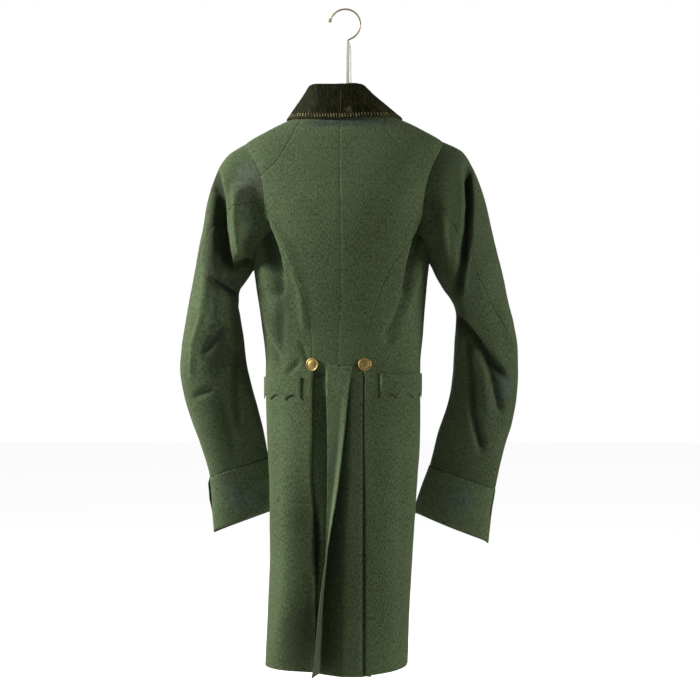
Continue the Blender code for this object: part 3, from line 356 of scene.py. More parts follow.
# Shares of a fold's length over which it rises and dies away
FOLD_RISES = (-0.22, 0.25)
FOLD_DIES = (0.75, 1.22)
BACK_FOLDS = table(
    FOLD_COLUMNS,
    (133, -183, 119, -225, 17, 5, -24),
    (119, -225, 109, -270, 17, 5, -24),
    (109, -270, 107, -312, 14, 6, -12),
    (127, -173, 95, -229, 7, 7, 4),
    (95, -229, 71, -299, 7, 7, 4),
    (71, -299, 59, -368, 7, 7, 4),
    (-153, -175, -132, -217, 4, 8, -25),
    (-132, -217, -120, -264, 4, 8, -25),
    (-120, -264, -113, -306, 5, 9, -14),
    (-113, -306, -99, -346, 7, 8, -5),
    (-99, -346, -80, -385, 7, 8, -5),
    (-142, -243, -130, -292, 6, 6, 5),
    (-130, -292, -110, -344, 6, 6, 5),
    (150, -287, 134, -354, 6, 7, 6),
    (134, -354, 105, -417, 6, 7, 6),
    (148, -375, 141, -434, 8, 6, -6),
    (106, -330, 112, -436, 15, 12, -7),
    (70, -425, 93, -448, 5, 4, -5),
    (68, -394, 52, -434, 5, 5, -3),
    (-101, -373, -83, -396, 5, 4, -4),
    (54, -640, 52, -985, 40, 18, -18),
    (96, -640, 100, -985, 26, 26, 5),
    (118, -520, 122, -900, 14, 18, -4),
    (-80, -520, -86, -960, 34, 34, 3),
    (-112, -560, -104, -960, 14, 12, -4),
)
FRONT_FOLDS = table(
    FOLD_COLUMNS,
    (132, -178, 112, -232, 12, 6, -13),
    (112, -232, 90, -300, 12, 7, -7),
    (-134, -182, -116, -236, 6, 12, -13),
    (-116, -236, -92, -302, 7, 12, -7),
    (118, -300, 62, -408, 12, 12, 4),
    (-112, -296, -60, -402, 12, 12, 4),
    (96, -330, 40, -412, 8, 8, -4),
    (-92, -322, -42, -408, 8, 8, -4),
    (-140, -330, -112, -430, 8, 7, -5),
    (142, -330, 116, -432, 8, 7, -5),
)

# The lapel's free edge, from its break up to its point and along the gorge: across from the centre, and
# height
LAPEL = table(
    "across height",
    (22, -236),
    (37, -206),
    (52, -176),
    (67, -147),
    (81, -118),
    (92, -90),
    (79, -76),
    (66, -62),
    (54, -51),
    (44, -54),
    (34, -64),
    (26, -76),
    (17, -89),
)

SLEEVE_ROW_LENGTH = 38 * MM
FRONT_SHARE = 0.6
FRONT_SHIFT = (-5 * MM, -24 * MM)

# Sleeves, from the armhole to the wrist: outer and inner edge seen from the back, middle and half depth
# front to back, and the angles of the two seams (0 outer edge, 90 back, 180 inner edge, 270 front).
# The first row only leads out of the armhole, which is its real place.
SLEEVE_TABLE_COLUMNS = "outer_x outer_z inner_x inner_z middle_y half_y hind fore"
LEFT_SLEEVE = table(
    SLEEVE_TABLE_COLUMNS,
    (171, -40, 156, -254, 0, 57, 89, 262),
    (203, -58, 163, -265, 0, 62, 87, 260),
    (223, -84, 169, -276, 1, 65, 82, 257),
    (235, -112, 178, -289, 2, 65, 76, 253),
    (244, -148, 186, -300, 2, 64, 64, 248),
    (251, -189, 189, -311, 1, 62, 50, 243),
    (260, -231, 189, -326, 0, 60, 38, 238),
    (268, -274, 187, -345, -3, 58, 30, 233),
    (277, -317, 184, -367, -7, 56, 26, 229),
    (286, -360, 181, -390, -12, 54, 23, 225),
    (294, -403, 179, -416, -18, 52, 20, 221),
    (298, -446, 175, -446, -27, 50, 18, 217),
    (293, -490, 169, -479, -39, 46, 17, 213),
    (283, -533, 162, -514, -54, 42, 16, 209),
    (269, -580, 155, -552, -73, 37, 14, 205),
    (257, -638, 149, -602, -96, 32, 12, 201),
    (256, -686, 143, -646, -112, 30, 11, 198),
    (254, -742, 134, -697, -127, 28, 10, 196),
)
RIGHT_SLEEVE = table(
    SLEEVE_TABLE_COLUMNS,
    (171, -40, 152, -254, 0, 57, 89, 262),
    (208, -58, 157, -266, 0, 62, 91, 260),
    (225, -84, 163, -279, 1, 65, 92, 257),
    (237, -110, 170, -291, 2, 65, 92, 253),
    (250, -150, 178, -304, 2, 64, 90, 248),
    (259, -192, 187, -316, 1, 62, 88, 243),
    (269, -234, 194, -330, 0, 60, 83, 238),
    (280, -276, 197, -347, -3, 58, 74, 233),
    (288, -318, 196, -368, -7, 56, 62, 229),
    (298, -360, 194, -391, -12, 54, 48, 225),
    (305, -403, 193, -416, -18, 52, 35, 221),
    (306, -446, 191, -445, -27, 50, 27, 217),
    (303, -490, 186, -478, -39, 46, 23, 213),
    (295, -533, 176, -514, -54, 42, 20, 209),
    (281, -578, 161, -554, -73, 37, 18, 205),
    (263, -656, 145, -614, -98, 32, 15, 201),
    (255, -704, 128, -658, -114, 30, 14, 198),
    (249, -757, 112, -703, -129, 28, 13, 196),
)

LEFT_SLEEVE_FOLDS = table(
    FOLD_COLUMNS,
    (221, -92, 206, -138, 19, 3.5, -31),
    (206, -138, 202, -190, 19, 3.5, -31),
    (202, -190, 193, -263, 19, 4, -29),
    (178, -118, 183, -171, 10, 26, 17),
    (183, -171, 177, -238, 10, 26, 19),
    (190, -264, 160, -246, 5, 5, -10),
    (159, -159, 174, -228, 5, 6, -5),
    (151, -169, 163, -235, 5, 5, 4),
    (224, -284, 180, -317, 5, 5, -9),
    (236, -270, 249, -345, 8, 8, 4),
    (249, -345, 268, -397, 3, 7, 4),
    (268, -397, 273, -452, 3, 7, 4),
    (207, -364, 245, -411, 5, 8, -5),
    (233, -474, 272, -490, 5, 6, -5),
    (186, -406, 192, -473, 6, 6, -6),
    (192, -473, 193, -542, 6, 6, -6),
    (218, -486, 207, -586, 9, 9, -5),
    (174, -468, 160, -567, 7, 6, 4),
)
RIGHT_SLEEVE_FOLDS = table(
    FOLD_COLUMNS,
    (220, -89, 223, -148, 5, 6, -24),
    (223, -148, 220, -200, 5, 6, -24),
    (220, -200, 214, -255, 6, 8, -24),
    (214, -255, 202, -309, 9, 9, -15),
    (158, -142, 171, -189, 3, 4, -5),
    (252, -148, 273, -269, 9, 9, 4),
    (187, -174, 194, -255, 8, 8, 5),
    (203, -347, 243, -392, 2.5, 15, -17),
    (243, -392, 284, -448, 2.5, 15, -17),
    (217, -389, 224, -450, 6, 5, -9),
    (224, -450, 227, -515, 6, 6, -12),
    (227, -515, 242, -580, 6, 6, -12),
    (251, -417, 266, -469, 7, 6, -9),
    (266, -469, 276, -515, 7, 6, -9),
    (244, -432, 253, -520, 6, 6, 3),
    (204, -397, 195, -512, 7, 6, 3),
    (276, -320, 296, -410, 8, 7, 4),
)

# The collar, by angle from the centre back: how far its roll stands above the neck seam and inside it,
# and the height of the fall's edge
COLLAR = table(
    "angle rise inward edge_height",
    (0, 57, 3, -6),
    (30, 57, 3, -5),
    (58, 53, 13, -3),
    (78, 43, 20, -1),
    (95, 32, 19, -2),
    (115, 22, 10, -16),
    (135, 17, 4, -36),
    (150, 15, 2, -56),
)


def curve(knots, values):
    """A smooth function through a table's values that never swings past them."""
    knots = np.asarray(knots, float)
    values = np.asarray(values, float)
    steps = np.diff(values) / np.diff(knots)
    product = steps[1:] * steps[:-1]
    total = np.where(product > 0, steps[1:] + steps[:-1], 1.0)
    inner = np.where(product > 0, 2 * product / total, 0.0)
    slopes = np.concatenate(([steps[0]], inner, [steps[-1]]))

    def at(position):
        position = np.clip(np.asarray(position, float), knots[0], knots[-1])
        row = np.clip(np.searchsorted(knots, position) - 1, 0, len(knots) - 2)
        width = knots[row + 1] - knots[row]
        share = (position - knots[row]) / width
        rise = share * share * (3 - 2 * share)
        start = values[row] + slopes[row] * width * (share - 2 * share**2 + share**3)
        end = slopes[row + 1] * width * (share**3 - share**2)
        return start + rise * (values[row + 1] - values[row]) + end

    return at


def column(rows, field, unit=MM, key_unit=MM):
    """One column of a table as a smooth function of its first column."""
    return curve([row[0] * key_unit for row in rows], [getattr(row, field) * unit for row in rows])


def smooth_step(low, high, value):
    share = np.clip((value - low) / (high - low), 0, 1)
    return share * share * (3 - 2 * share)


def unit(vectors):
    return vectors / np.maximum(np.linalg.norm(vectors, axis=-1, keepdims=True), 1e-12)


TRUNK_LEFT = column(TRUNK, "left")
TRUNK_RIGHT = column(TRUNK, "right")
TRUNK_BACK = column(TRUNK, "back")
TRUNK_FRONT = column(TRUNK, "front")
TRUNK_SQUARE = column(TRUNK, "square", unit=1)
STRAY_ACROSS = column(STRAY, "across")
NECK_HEIGHT = column(NECK, "height", key_unit=DEGREE)
SIDE_ACROSS = column(SIDE_SEAM, "across")
PLEAT_ACROSS = {1: column(PLEAT, "left"), -1: column(PLEAT, "right")}
SHOULDER_ACROSS = column(SHOULDER_SEAM, "across")
TAIL_ANGLE = column(TAIL_FRONT, "angle", unit=DEGREE)


def fold_out(folds, x, z):
    """How far the soft folds push the cloth out at a place seen from the back."""
    out = np.zeros(np.broadcast(x, z).shape)
    for fold in folds:
        start = np.array([fold.x0, fold.z0]) * MM
        run = np.array([fold.x1, fold.z1]) * MM - start
        length = np.hypot(*run)
        along = ((x - start[0]) * run[0] + (z - start[1]) * run[1]) / length**2
        aside = ((x - start[0]) * run[1] - (z - start[1]) * run[0]) / length
        fade = smooth_step(*FOLD_RISES, along) * (1 - smooth_step(*FOLD_DIES, along))
        width = np.where(aside > 0, fold.inner, fold.outer) * MM
        out = out + fold.depth * MM * fade * np.exp(-((aside / width) ** 2))
    return out


def trunk_reach(angle, height):
    side = np.where(np.sin(angle) >= 0, TRUNK_LEFT(height), TRUNK_RIGHT(height))
    deep = np.where(np.cos(angle) >= 0, TRUNK_BACK(height), TRUNK_FRONT(height))
    square = TRUNK_SQUARE(height)
    spread = (np.abs(np.sin(angle)) / side) ** square + (np.abs(np.cos(angle)) / deep) ** square
    return spread ** (-1 / square)


def trunk(angle, height):
    """Outer face of the coat round the trunk, by angle from the centre back (positive to the left)."""
    angle, height = np.broadcast_arrays(np.asarray(angle, float), np.asarray(height, float))
    reach = trunk_reach(angle, height)
    x = reach * np.sin(angle)
    facing = np.cos(angle)
    out = fold_out(BACK_FOLDS, x, height) * smooth_step(-0.1, 0.45, facing)
    out = out + fold_out(FRONT_FOLDS, x, height) * smooth_step(0.1, 0.45, -facing)
    stray = STRAY_ACROSS(height) * smooth_step(0.3, 0.9, facing)
    return np.stack([(reach + out) * np.sin(angle) + stray, (reach + out) * np.cos(angle), height], -1)


def angle_across(across, height, face=1):
    """The angle at which the trunk is that far across, on its back (face 1) or its front (face -1)."""
    side = np.where(np.asarray(across) >= 0, TRUNK_LEFT(height), TRUNK_RIGHT(height))
    deep = TRUNK_BACK(height) if face > 0 else TRUNK_FRONT(height)
    square = TRUNK_SQUARE(height)
    share = np.clip(np.abs(across) / side, 0, 0.9999)
    return np.arctan2(across, face * deep * (1 - share**square) ** (1 / square))


def wrapped(u, v):
    """The trunk in pattern lengths: u round the body from the centre back, v up from the nape."""
    return trunk(u / PATTERN_RADIUS, v)


def pleat_line(side, v):
    """Where a forepart's skirt starts to roll under, a roll's radius outside the fold that shows."""
    return angle_across(side * PLEAT_ACROSS[side](v), v) * PATTERN_RADIUS


def forepart_cloth(side):
    """A forepart's face: the trunk, with the back edge of its skirt rolled under along the pleat."""

    def face(u, v):
        u, v = np.broadcast_arrays(np.asarray(u, float), np.asarray(v, float))
        line = pleat_line(side, v)
        past = np.where(v < PLEAT_TOP, np.maximum(0, (line - u) * side), 0)
        turn = np.minimum(past / PLEAT_ROLL, math.pi)
        back = np.maximum(0, past - math.pi * PLEAT_ROLL)
        held = np.where(past > 0, line + side * back, u)
        here = wrapped(held, v)
        inward = unit(wrapped(held - side * NUDGE, v) - here)
        under = np.stack([-inward[..., 1] * side, inward[..., 0] * side, np.zeros_like(past)], -1)
        sideways = (PLEAT_ROLL * np.sin(turn))[..., None]
        deep = (PLEAT_ROLL * (1 - np.cos(turn)))[..., None]
        return here + inward * sideways + under * deep

    return face


VALLEY_ACROSS, VALLEY_OUT, EDGE_ACROSS, EDGE_OUT, UNDERLAP_ACROSS = (
    column(LAP, name, key_unit=1) for name in LAP[0]._fields[1:]
)


def back_cloth(side):
    """A back's face: flat to the trunk above the waist; below it the skirt lies behind the pleat.

    Here u is the distance from the centre seam towards the piece's own side.
    """

    def face(u, v):
        u, v = np.broadcast_arrays(np.asarray(u, float), np.asarray(v, float))
        share = np.clip((WAIST - v) / (WAIST - HEM[side]), 0, 1)
        begins = WAIST - RECESS_BELOW_WAIST + RECESS_RISE * smooth_step(*RECESS_RISES, u)
        behind = BACK_RECESS * smooth_step(0, RECESS_FADE, begins - v)
        if side > 0:
            to_valley = np.clip((PLEAT_FROM_CENTRE - u) / (PLEAT_FROM_CENTRE - LAP_VALLEY), 0, 1)
            blend = smooth_step(*LAP_STARTS, share)
            linear = np.clip((LAP_VALLEY - u) / (LAP_VALLEY + LAP_WIDTH), 0, 1)
            soft = LAP_SOFTNESS * smooth_step(*LAP_SOFTENS, share)
            to_edge = linear + (smooth_step(0, 1, linear) - linear) * soft
            beside = u + (VALLEY_ACROSS(share) - LAP_VALLEY) * to_valley
            over = VALLEY_ACROSS(share) * (1 - linear) + EDGE_ACROSS(share) * linear
            across = np.where(u > LAP_VALLEY, beside, over)
            across = u * (1 - blend) + across * blend
            valley = -behind * (1 - to_valley) + np.minimum(VALLEY_OUT(share), -behind) * to_valley
            below_top = smooth_step(-LAP_TOP_BLUR, LAP_TOP_BLUR, LAP_TOP - v)
            lifted = LAP_LIFT * smooth_step(LAP_VALLEY, LAP_VALLEY - LAP_LIFT_REACH, u) * below_top
            edge = np.maximum(EDGE_OUT(share), lifted)
            held = lifted * smooth_step(*LAP_HELD, share)
            slope = np.maximum(valley * (1 - to_edge) + edge * to_edge, held)
            out = np.where(u > LAP_VALLEY, valley, slope)
            top_fade = smooth_step(0, LAP_FADE, WAIST + LAP_ABOVE_WAIST - v)
            out = out * top_fade + np.where(u < LAP_VALLEY, lifted * (1 - top_fade), 0)
        else:
            whole = PLEAT_FROM_CENTRE + VENT_UNDERLAP
            near_vent = np.clip((PLEAT_FROM_CENTRE - u) / whole, 0, 1)
            across = (UNDERLAP_ACROSS(share) - VENT_UNDERLAP) * near_vent - u
            tucked = np.minimum(VALLEY_OUT(share) - TUCK_BEHIND, -BACK_RECESS) + BACK_RECESS
            dive = smooth_step(PLEAT_FROM_CENTRE - SLIT_WIDTH, PLEAT_FROM_CENTRE, u)
            dive = dive + smooth_step(*VENT_DIVES, u)
            out = -behind * (SLIT_STEP + (1 - SLIT_STEP) * np.clip(dive, 0, 1))
            out = out + tucked * behind / BACK_RECESS * smooth_step(*VENT_TUCKS, u)
        body = wrapped(angle_across(across, v) * PATTERN_RADIUS, v)
        return body + np.stack([np.zeros_like(u), out, np.zeros_like(u)], -1)

    return face


def normals_of(face, u, v, outward):
    """Unit normals of a face, on the side that the outward sign gives."""
    here = face(u, v)
    across = face(u + NUDGE, v) - here
    upward = face(u, v + NUDGE) - here
    return here, unit(np.cross(across, upward) * outward)


def edge_distance(points, outline, kept=None):
    """How far each point is from a closed outline, or from the stretches of it between kept points."""
    start = np.asarray(outline, float)
    run = np.roll(start, -1, axis=0) - start
    if kept is not None:
        both = kept & np.roll(kept, -1)
        start, run = start[both], run[both]
    length = np.maximum(np.sum(run**2, axis=1), 1e-18)
    away = []
    for some in np.array_split(np.asarray(points, float), max(1, len(points) // 2000)):
        dx, dy = some[:, 0:1] - start[:, 0], some[:, 1:2] - start[:, 1]
        share = np.clip((dx * run[:, 0] + dy * run[:, 1]) / length, 0, 1)
        away.append(np.hypot(dx - share * run[:, 0], dy - share * run[:, 1]).min(axis=1))
    return np.concatenate(away)


def inside_outline(points, outline, clear):
    """Which points lie inside a closed outline and at least that far from it."""
    start = np.asarray(outline, float)
    run = np.roll(start, -1, axis=0) - start
    slope = np.where(np.abs(run[:, 1]) > 1e-12, run[:, 1], 1e-12)
    within = []
    for some in np.array_split(np.asarray(points, float), max(1, len(points) // 2000)):
        px, py = some[:, 0:1], some[:, 1:2]
        crosses = (start[:, 1] > py) != (np.roll(start[:, 1], -1) > py)
        hit = px < start[:, 0] + (py - start[:, 1]) / slope * run[:, 0]
        within.append(np.sum(crosses & hit, axis=1) % 2 == 1)
    return np.concatenate(within) & (edge_distance(points, outline) > clear)


def cut_outline(outline, mesh, lines=()):
    """Fine triangles in a closed outline, with rings inside its edge and edges along the given lines."""
    outline = np.asarray(outline, float)
    low, high = outline.min(axis=0), outline.max(axis=0)
    levels = np.arange(low[1] + mesh / 2, high[1], mesh * ROW_HEIGHT)
    grid = []
    for i, level in enumerate(levels):
        grid += [(c, level) for c in np.arange(low[0] + mesh * (0.25 + 0.5 * (i % 2)), high[0], mesh)]
    inner = np.array(grid)
    inner = inner[inside_outline(inner, outline, EDGE_RINGS[1] + mesh * RING_CLEAR)]
    ahead = np.roll(outline, -1, axis=0) - np.roll(outline, 1, axis=0)
    turned = np.sum(outline[:, 0] * np.roll(outline[:, 1], -1) - outline[:, 1] * np.roll(outline[:, 0], -1))
    inward = unit(np.stack([-ahead[:, 1], ahead[:, 0]], -1) * np.sign(turned))
    for ring in EDGE_RINGS:
        points = outline + inward * ring
        inner = np.concatenate([inner, points[inside_outline(points, outline, ring * RING_KEPT)]])
    ring = list(range(len(outline)))
    edges = list(zip(ring, ring[1:] + ring[:1]))
    placed = outline
    for line in lines:
        line = np.asarray(line, float)
        line = line[inside_outline(line, outline, NUDGE)]
        keep = [np.hypot(*(line - point).T).min() > mesh * LINE_CLEAR for point in inner]
        inner = inner[keep]
        edges += [(len(placed) + i, len(placed) + i + 1) for i in range(len(line) - 1)]
        placed = np.concatenate([placed, line])
    points = [Vector(p) for p in np.concatenate([placed, inner])]
    found = geometry.delaunay_2d_cdt(points, edges, [ring], 1, 1e-9)
    return np.array([tuple(p) for p in found[0]]), [tuple(f) for f in found[2]]


def run_down(high, low):
    """Heights from high to low at about one step, the same for every piece that shares the line."""
    return np.linspace(high, low, max(2, round(abs(high - low) / EDGE_STEP) + 1))


def armhole(side, turn, grow=0.0):
    """A point of the armhole: turn 0 is its top, a quarter turn its back, a half turn its bottom."""
    wide = np.where(np.sin(turn) > 0, ARMHOLE_BACK[side], ARMHOLE_FRONT) * PATTERN_RADIUS + grow
    bulge = np.sign(np.sin(turn)) * np.abs(np.sin(turn)) ** ARMHOLE_SHARPNESS
    u = side * (math.pi / 2 * PATTERN_RADIUS - wide * bulge)
    return u, ARMHOLE_MIDDLE + (ARMHOLE_HALF_HEIGHT + grow) * np.cos(turn)


def armhole_turn(height):
    return math.acos((height - ARMHOLE_MIDDLE) / ARMHOLE_HALF_HEIGHT)


def armhole_run(side, start, end):
    """The armhole's edge on the panels, with a point wherever the sleeve has one."""
    turns = np.linspace(-math.pi, 3 * math.pi, ARMHOLE_STEPS)
    kept = [t for t in turns if start + ARMHOLE_CORNER < t < end - ARMHOLE_CORNER]
    return [armhole(side, t, ARMHOLE_GAP) for t in kept]


def seam_points(side, across, heights, top_turn):
    """A back seam as pattern points that end exactly on the armhole."""
    reached, _ = armhole(side, top_turn)
    end = heights[np.argmax(np.abs(heights - WAIST))] if across is SIDE_ACROSS else heights[-1]
    first = angle_across(side * across(end), end) * PATTERN_RADIUS
    points = []
    for height in heights:
        u = float(angle_across(side * across(height), height) * PATTERN_RADIUS)
        near = float(smooth_step(0, 1, 1 - abs(height - end) / SEAM_BLEND))
        points.append((u + near * float(reached - first), float(height)))
    return points


def shoulder_seam(side):
    heights = run_down(float(NECK_HEIGHT(SHOULDER_NECK_END)), SHOULDER_SEAM_END)
    seam = seam_points(side, SHOULDER_ACROSS, heights, armhole_turn(SHOULDER_SEAM_END))
    return [(side * SHOULDER_NECK_END * PATTERN_RADIUS, seam[0][1]), *seam[1:]]


def side_seam(side):
    heights = run_down(SIDE_SEAM_END, WAIST)
    return seam_points(side, SIDE_ACROSS, heights, armhole_turn(SIDE_SEAM_END))


def moved(points, du):
    return [(u + du, v) for u, v in points]


def neck_run(side, start, end, steps):
    angles = np.linspace(start, end, steps)
    return [(side * a * PATTERN_RADIUS, float(NECK_HEIGHT(a))) for a in angles]


def front_edge(side, v):
    """Pattern place of the coat's front edge; the two fall apart a little towards the waist."""
    share = smooth_step(LAPEL_BREAK, WAIST, v)
    across = FRONT_EDGE_AT_NECK * (1 - share) + FRONT_EDGE_AT_WAIST * share
    return float(angle_across(side * across, v, -1)) * PATTERN_RADIUS


def closed_outline(runs, loose=()):
    """One closed outline from its runs, and which of its points lie on an edge that isn't sewn."""
    points = [point for run in runs for point in run]
    free = [i in loose for i, run in enumerate(runs) for _ in run]
    return np.array(points, float), np.array(free)


def forepart_outline(side):
    """A forepart: shoulder, front, side and tail, round from the shoulder seam's neck end."""
    half = SEAM_GAP / 2
    neck = neck_run(side, SHOULDER_NECK_END + NECK_CORNER_FRONT, NECK_FRONT, 50)
    front = run_down(NECK_HEIGHT(NECK_FRONT) - BELOW_NOTCH, WAIST + FRONT_HEM_RISE)
    edge = [(front_edge(side, v), float(v)) for v in front]
    tail_top = float(TAIL_ANGLE(WAIST + TAIL_RISE)) * PATTERN_RADIUS * side
    waist = []
    for share in np.linspace(0, 1, 40)[1:]:
        up = FRONT_HEM_RISE + (TAIL_RISE - FRONT_HEM_RISE) * share
        waist.append((edge[-1][0] * (1 - share) + tail_top * share, WAIST + up))
    heights = run_down(WAIST - TAIL_BELOW_WAIST, HEM_AT_FRONT[side])
    tail = [(side * float(TAIL_ANGLE(v)) * PATTERN_RADIUS, float(v)) for v in heights]
    hem_from = tail[-1][0]
    hem_to = float(pleat_line(side, HEM[side])) - side * PLEAT_RETURN
    hem = []
    for share in np.linspace(0, 1, 50)[1:]:
        drop = (HEM[side] - HEM_AT_FRONT[side]) * share ** HEM_CURVE[side]
        hem.append((hem_from * (1 - share) + hem_to * share, HEM_AT_FRONT[side] + drop))
    pleat = []
    for v in run_down(HEM[side], PLEAT_TOP)[1:]:
        under = PLEAT_RETURN * float(smooth_step(PLEAT_TOP, PLEAT_FULL, v))
        pleat.append((float(pleat_line(side, v)) - side * (under - half), float(v)))
    seam = moved(side_seam(side)[::-1], side * half)
    seam[0] = (float(pleat_line(side, WAIST)) + side * half, WAIST)
    lower = armhole_turn(SIDE_SEAM_END)
    upper = armhole_turn(SHOULDER_SEAM_END)
    scye = armhole_run(side, lower, 2 * math.pi + upper)
    scye = [armhole(side, lower, ARMHOLE_GAP), *scye, armhole(side, upper, ARMHOLE_GAP)]
    shoulder = moved(shoulder_seam(side)[::-1], side * half)[1:-1]
    runs = [neck, edge, waist, tail, hem, pleat, seam[:-1], scye, shoulder]
    return closed_outline(runs, loose=(1, 2, 3, 4))


def pleat_lines(side):
    """Lines down the pleat's roll, so that the roll stays round."""
    heights = run_down(PLEAT_TOP - ROLL_LINES_BELOW_TOP, HEM[side] + LINE_ABOVE_HEM)
    line = pleat_line(side, heights)
    return [np.stack([line - side * turn * PLEAT_ROLL, heights], -1) for turn in ROLL_LINES]


def back_lines(side):
    """Lines along the lap's top, its valley and the slit beside the pleat, so that they stay crisp."""
    down = run_down(LAP_TOP - LAP_LINES_BELOW_TOP, HEM[side] + LINE_ABOVE_HEM)
    if side < 0:
        return [np.stack([0 * down + PLEAT_FROM_CENTRE - far, down], -1) for far in (SLIT_WIDTH, 0)]
    along = np.linspace(*LAP_TOP_LINE)
    lines = [np.stack([along, 0 * along + LAP_TOP + rise], -1) for rise in (LAP_TOP_BLUR, -LAP_TOP_BLUR)]
    return lines + [np.stack([0 * down + LAP_VALLEY + far, down], -1) for far in VALLEY_LINES]


def across_of(u, v):
    """How far across the trunk a pattern point lies, before any fold."""
    angle = u / PATTERN_RADIUS
    return abs(float(trunk_reach(angle, v) * np.sin(angle)))


def back_outline(side):
    """A back with its skirt, in distances from the centre seam, round from the nape."""
    half = SEAM_GAP / 2
    centre = [(half, float(v)) for v in run_down(NECK_HEIGHT(0), LAP_TOP)]
    if side > 0:
        vent_top, lap_start = LAP_TOP, -LAP_WIDTH
        top = [(u, LAP_TOP) for u in np.linspace(half, lap_start, 7)[1:]]
    else:
        vent_top, lap_start = VENT_UNDERLAP_TOP, half - VENT_UNDERLAP
        top = [(lap_start, vent_top)]
        centre.append((half, LAP_TOP - CENTRE_BELOW_LAP))
    vent = [(lap_start, float(v)) for v in run_down(vent_top, HEM[side])[1:]]
    last = PLEAT_FROM_CENTRE + UNDERLAP
    hem = []
    for u in np.linspace(lap_start, last, 26)[1:]:
        rise = UNDERLAP_RISE * float(smooth_step(PLEAT_FROM_CENTRE - UNDERLAP_RISE_STARTS, last, u))
        hem.append((float(u), HEM[side] + rise))
    up = run_down(HEM[side] + UNDERLAP_RISE, PLEAT_FULL + PLEAT_ABOVE_FULL)[1:]
    pleat = [(last, float(v)) for v in up]
    pleat.append((PLEAT_FROM_CENTRE - half, PLEAT_TOP - PLEAT_BELOW_TOP))
    seam = [(across_of(u, v) - half, v) for u, v in side_seam(side)[::-1]]
    seam[0] = (PLEAT_FROM_CENTRE - half, WAIST)
    run = armhole_run(side, armhole_turn(SHOULDER_SEAM_END), armhole_turn(SIDE_SEAM_END))
    scye = [(across_of(u, v), float(v)) for u, v in run[::-1]]
    shoulder = [(across_of(u, v) - half * SHOULDER_SEAM_TAKEN, v) for u, v in shoulder_seam(side)[::-1]]
    neck = []
    for angle in np.linspace(SHOULDER_NECK_END - NECK_CORNER_BACK, NECK_CORNER_BACK, 28):
        height = float(NECK_HEIGHT(angle))
        neck.append((across_of(side * angle * PATTERN_RADIUS, height), height))
    return closed_outline([centre, top, vent, hem, pleat, seam, scye, shoulder, neck], loose=(1, 2, 3))


def evenly(corners):
    """Points at about one step along a chain of corners."""
    points = []
    for start, end in zip(corners, corners[1:]):
        count = max(1, round(float(np.hypot(*(end - start))) / EDGE_STEP))
        points += [start + (end - start) * i / count for i in range(count)]
    return [*points, corners[-1]]


def lapel_outline(side):
    """A turned-back lapel, lying on its forepart beside the front edge."""
    front = run_down(NECK_HEIGHT(NECK_FRONT) - LAPEL_BELOW_NECK, LAPEL_BREAK)
    edge = [(front_edge(side, v), float(v)) for v in front]
    corners = np.array([(side * row.across * MM, row.height * MM) for row in LAPEL])
    free = [(float(angle_across(x, z, -1)) * PATTERN_RADIUS, z) for x, z in evenly(corners)]
    return closed_outline([edge, free], loose=(1,))


def flap_outline(side):
    """A scalloped pocket flap, lying on its forepart at the hip; its inner edge hangs straight."""
    inner, top, depth = FLAP[side]
    outer = side * FLAP_OUTER * PATTERN_RADIUS
    at_top, at_foot = (float(angle_across(side * inner, v)) * PATTERN_RADIUS for v in (top, top - depth))
    count = FLAP_SCALLOPS * (FLAP_POINTS - 1)
    upper = [(at_top + (outer - at_top) * s, top) for s in np.linspace(0, 1, 24)]
    lower = []
    for i in range(count + 1):
        phase = (i % (FLAP_POINTS - 1)) / (FLAP_POINTS - 1)
        rise = FLAP_SCALLOP_RISE * math.sin(math.pi * phase) ** FLAP_SCALLOP_ROUND
        lower.append((outer + (at_foot - outer) * i / count, top - depth + rise))
    return closed_outline([upper, lower], loose=(1,))


def sleeve_columns(rows):
    index = range(len(rows))
    units = {"hind": DEGREE, "fore": DEGREE}
    return {
        name: curve(index, [getattr(row, name) * units.get(name, MM) for row in rows])
        for name in rows[0]._fields
    }


def sleeve_face(side, rows, folds):
    """A sleeve's outer face by turn round it and by row down it; it starts at the armhole."""
    at = sleeve_columns(rows)

    def face(turn, row):
        turn, row = np.broadcast_arrays(np.asarray(turn, float), np.asarray(row, float))
        middle_x = (at["outer_x"](row) + at["inner_x"](row)) / 2
        middle_z = (at["outer_z"](row) + at["inner_z"](row)) / 2
        half_x = at["outer_x"](row) - middle_x
        half_z = at["outer_z"](row) - middle_z
        across, deep = np.cos(turn), np.sin(turn)
        x = middle_x + half_x * across
        z = middle_z + half_z * across
        y = at["middle_y"](row) + at["half_y"](row) * deep
        length = np.hypot(half_x, half_z)
        out = fold_out(folds, x, z) * smooth_step(0.0, 0.45, deep)
        before = fold_out(folds, x - FRONT_SHIFT[0], z - FRONT_SHIFT[1])
        out = out + FRONT_SHARE * before * smooth_step(0.0, 0.5, -deep)
        out = out * smooth_step(0.15, 1.0, row)
        x = x + out * across * half_x / length
        z = z + out * across * half_z / length
        y = y + out * deep
        u, v = armhole(side, turn)
        start = wrapped(u, v) + np.minimum(row, 0)[..., None] * [side * SLEEVE_ROW_LENGTH, 0, 0]
        leave = smooth_step(0, 1, row)[..., None]
        return start * (1 - leave) + np.stack([side * x, y, z], -1) * leave

    return face, at


COLLAR_AT = [column(COLLAR, name, key_unit=DEGREE) for name in COLLAR[0]._fields[1:]]


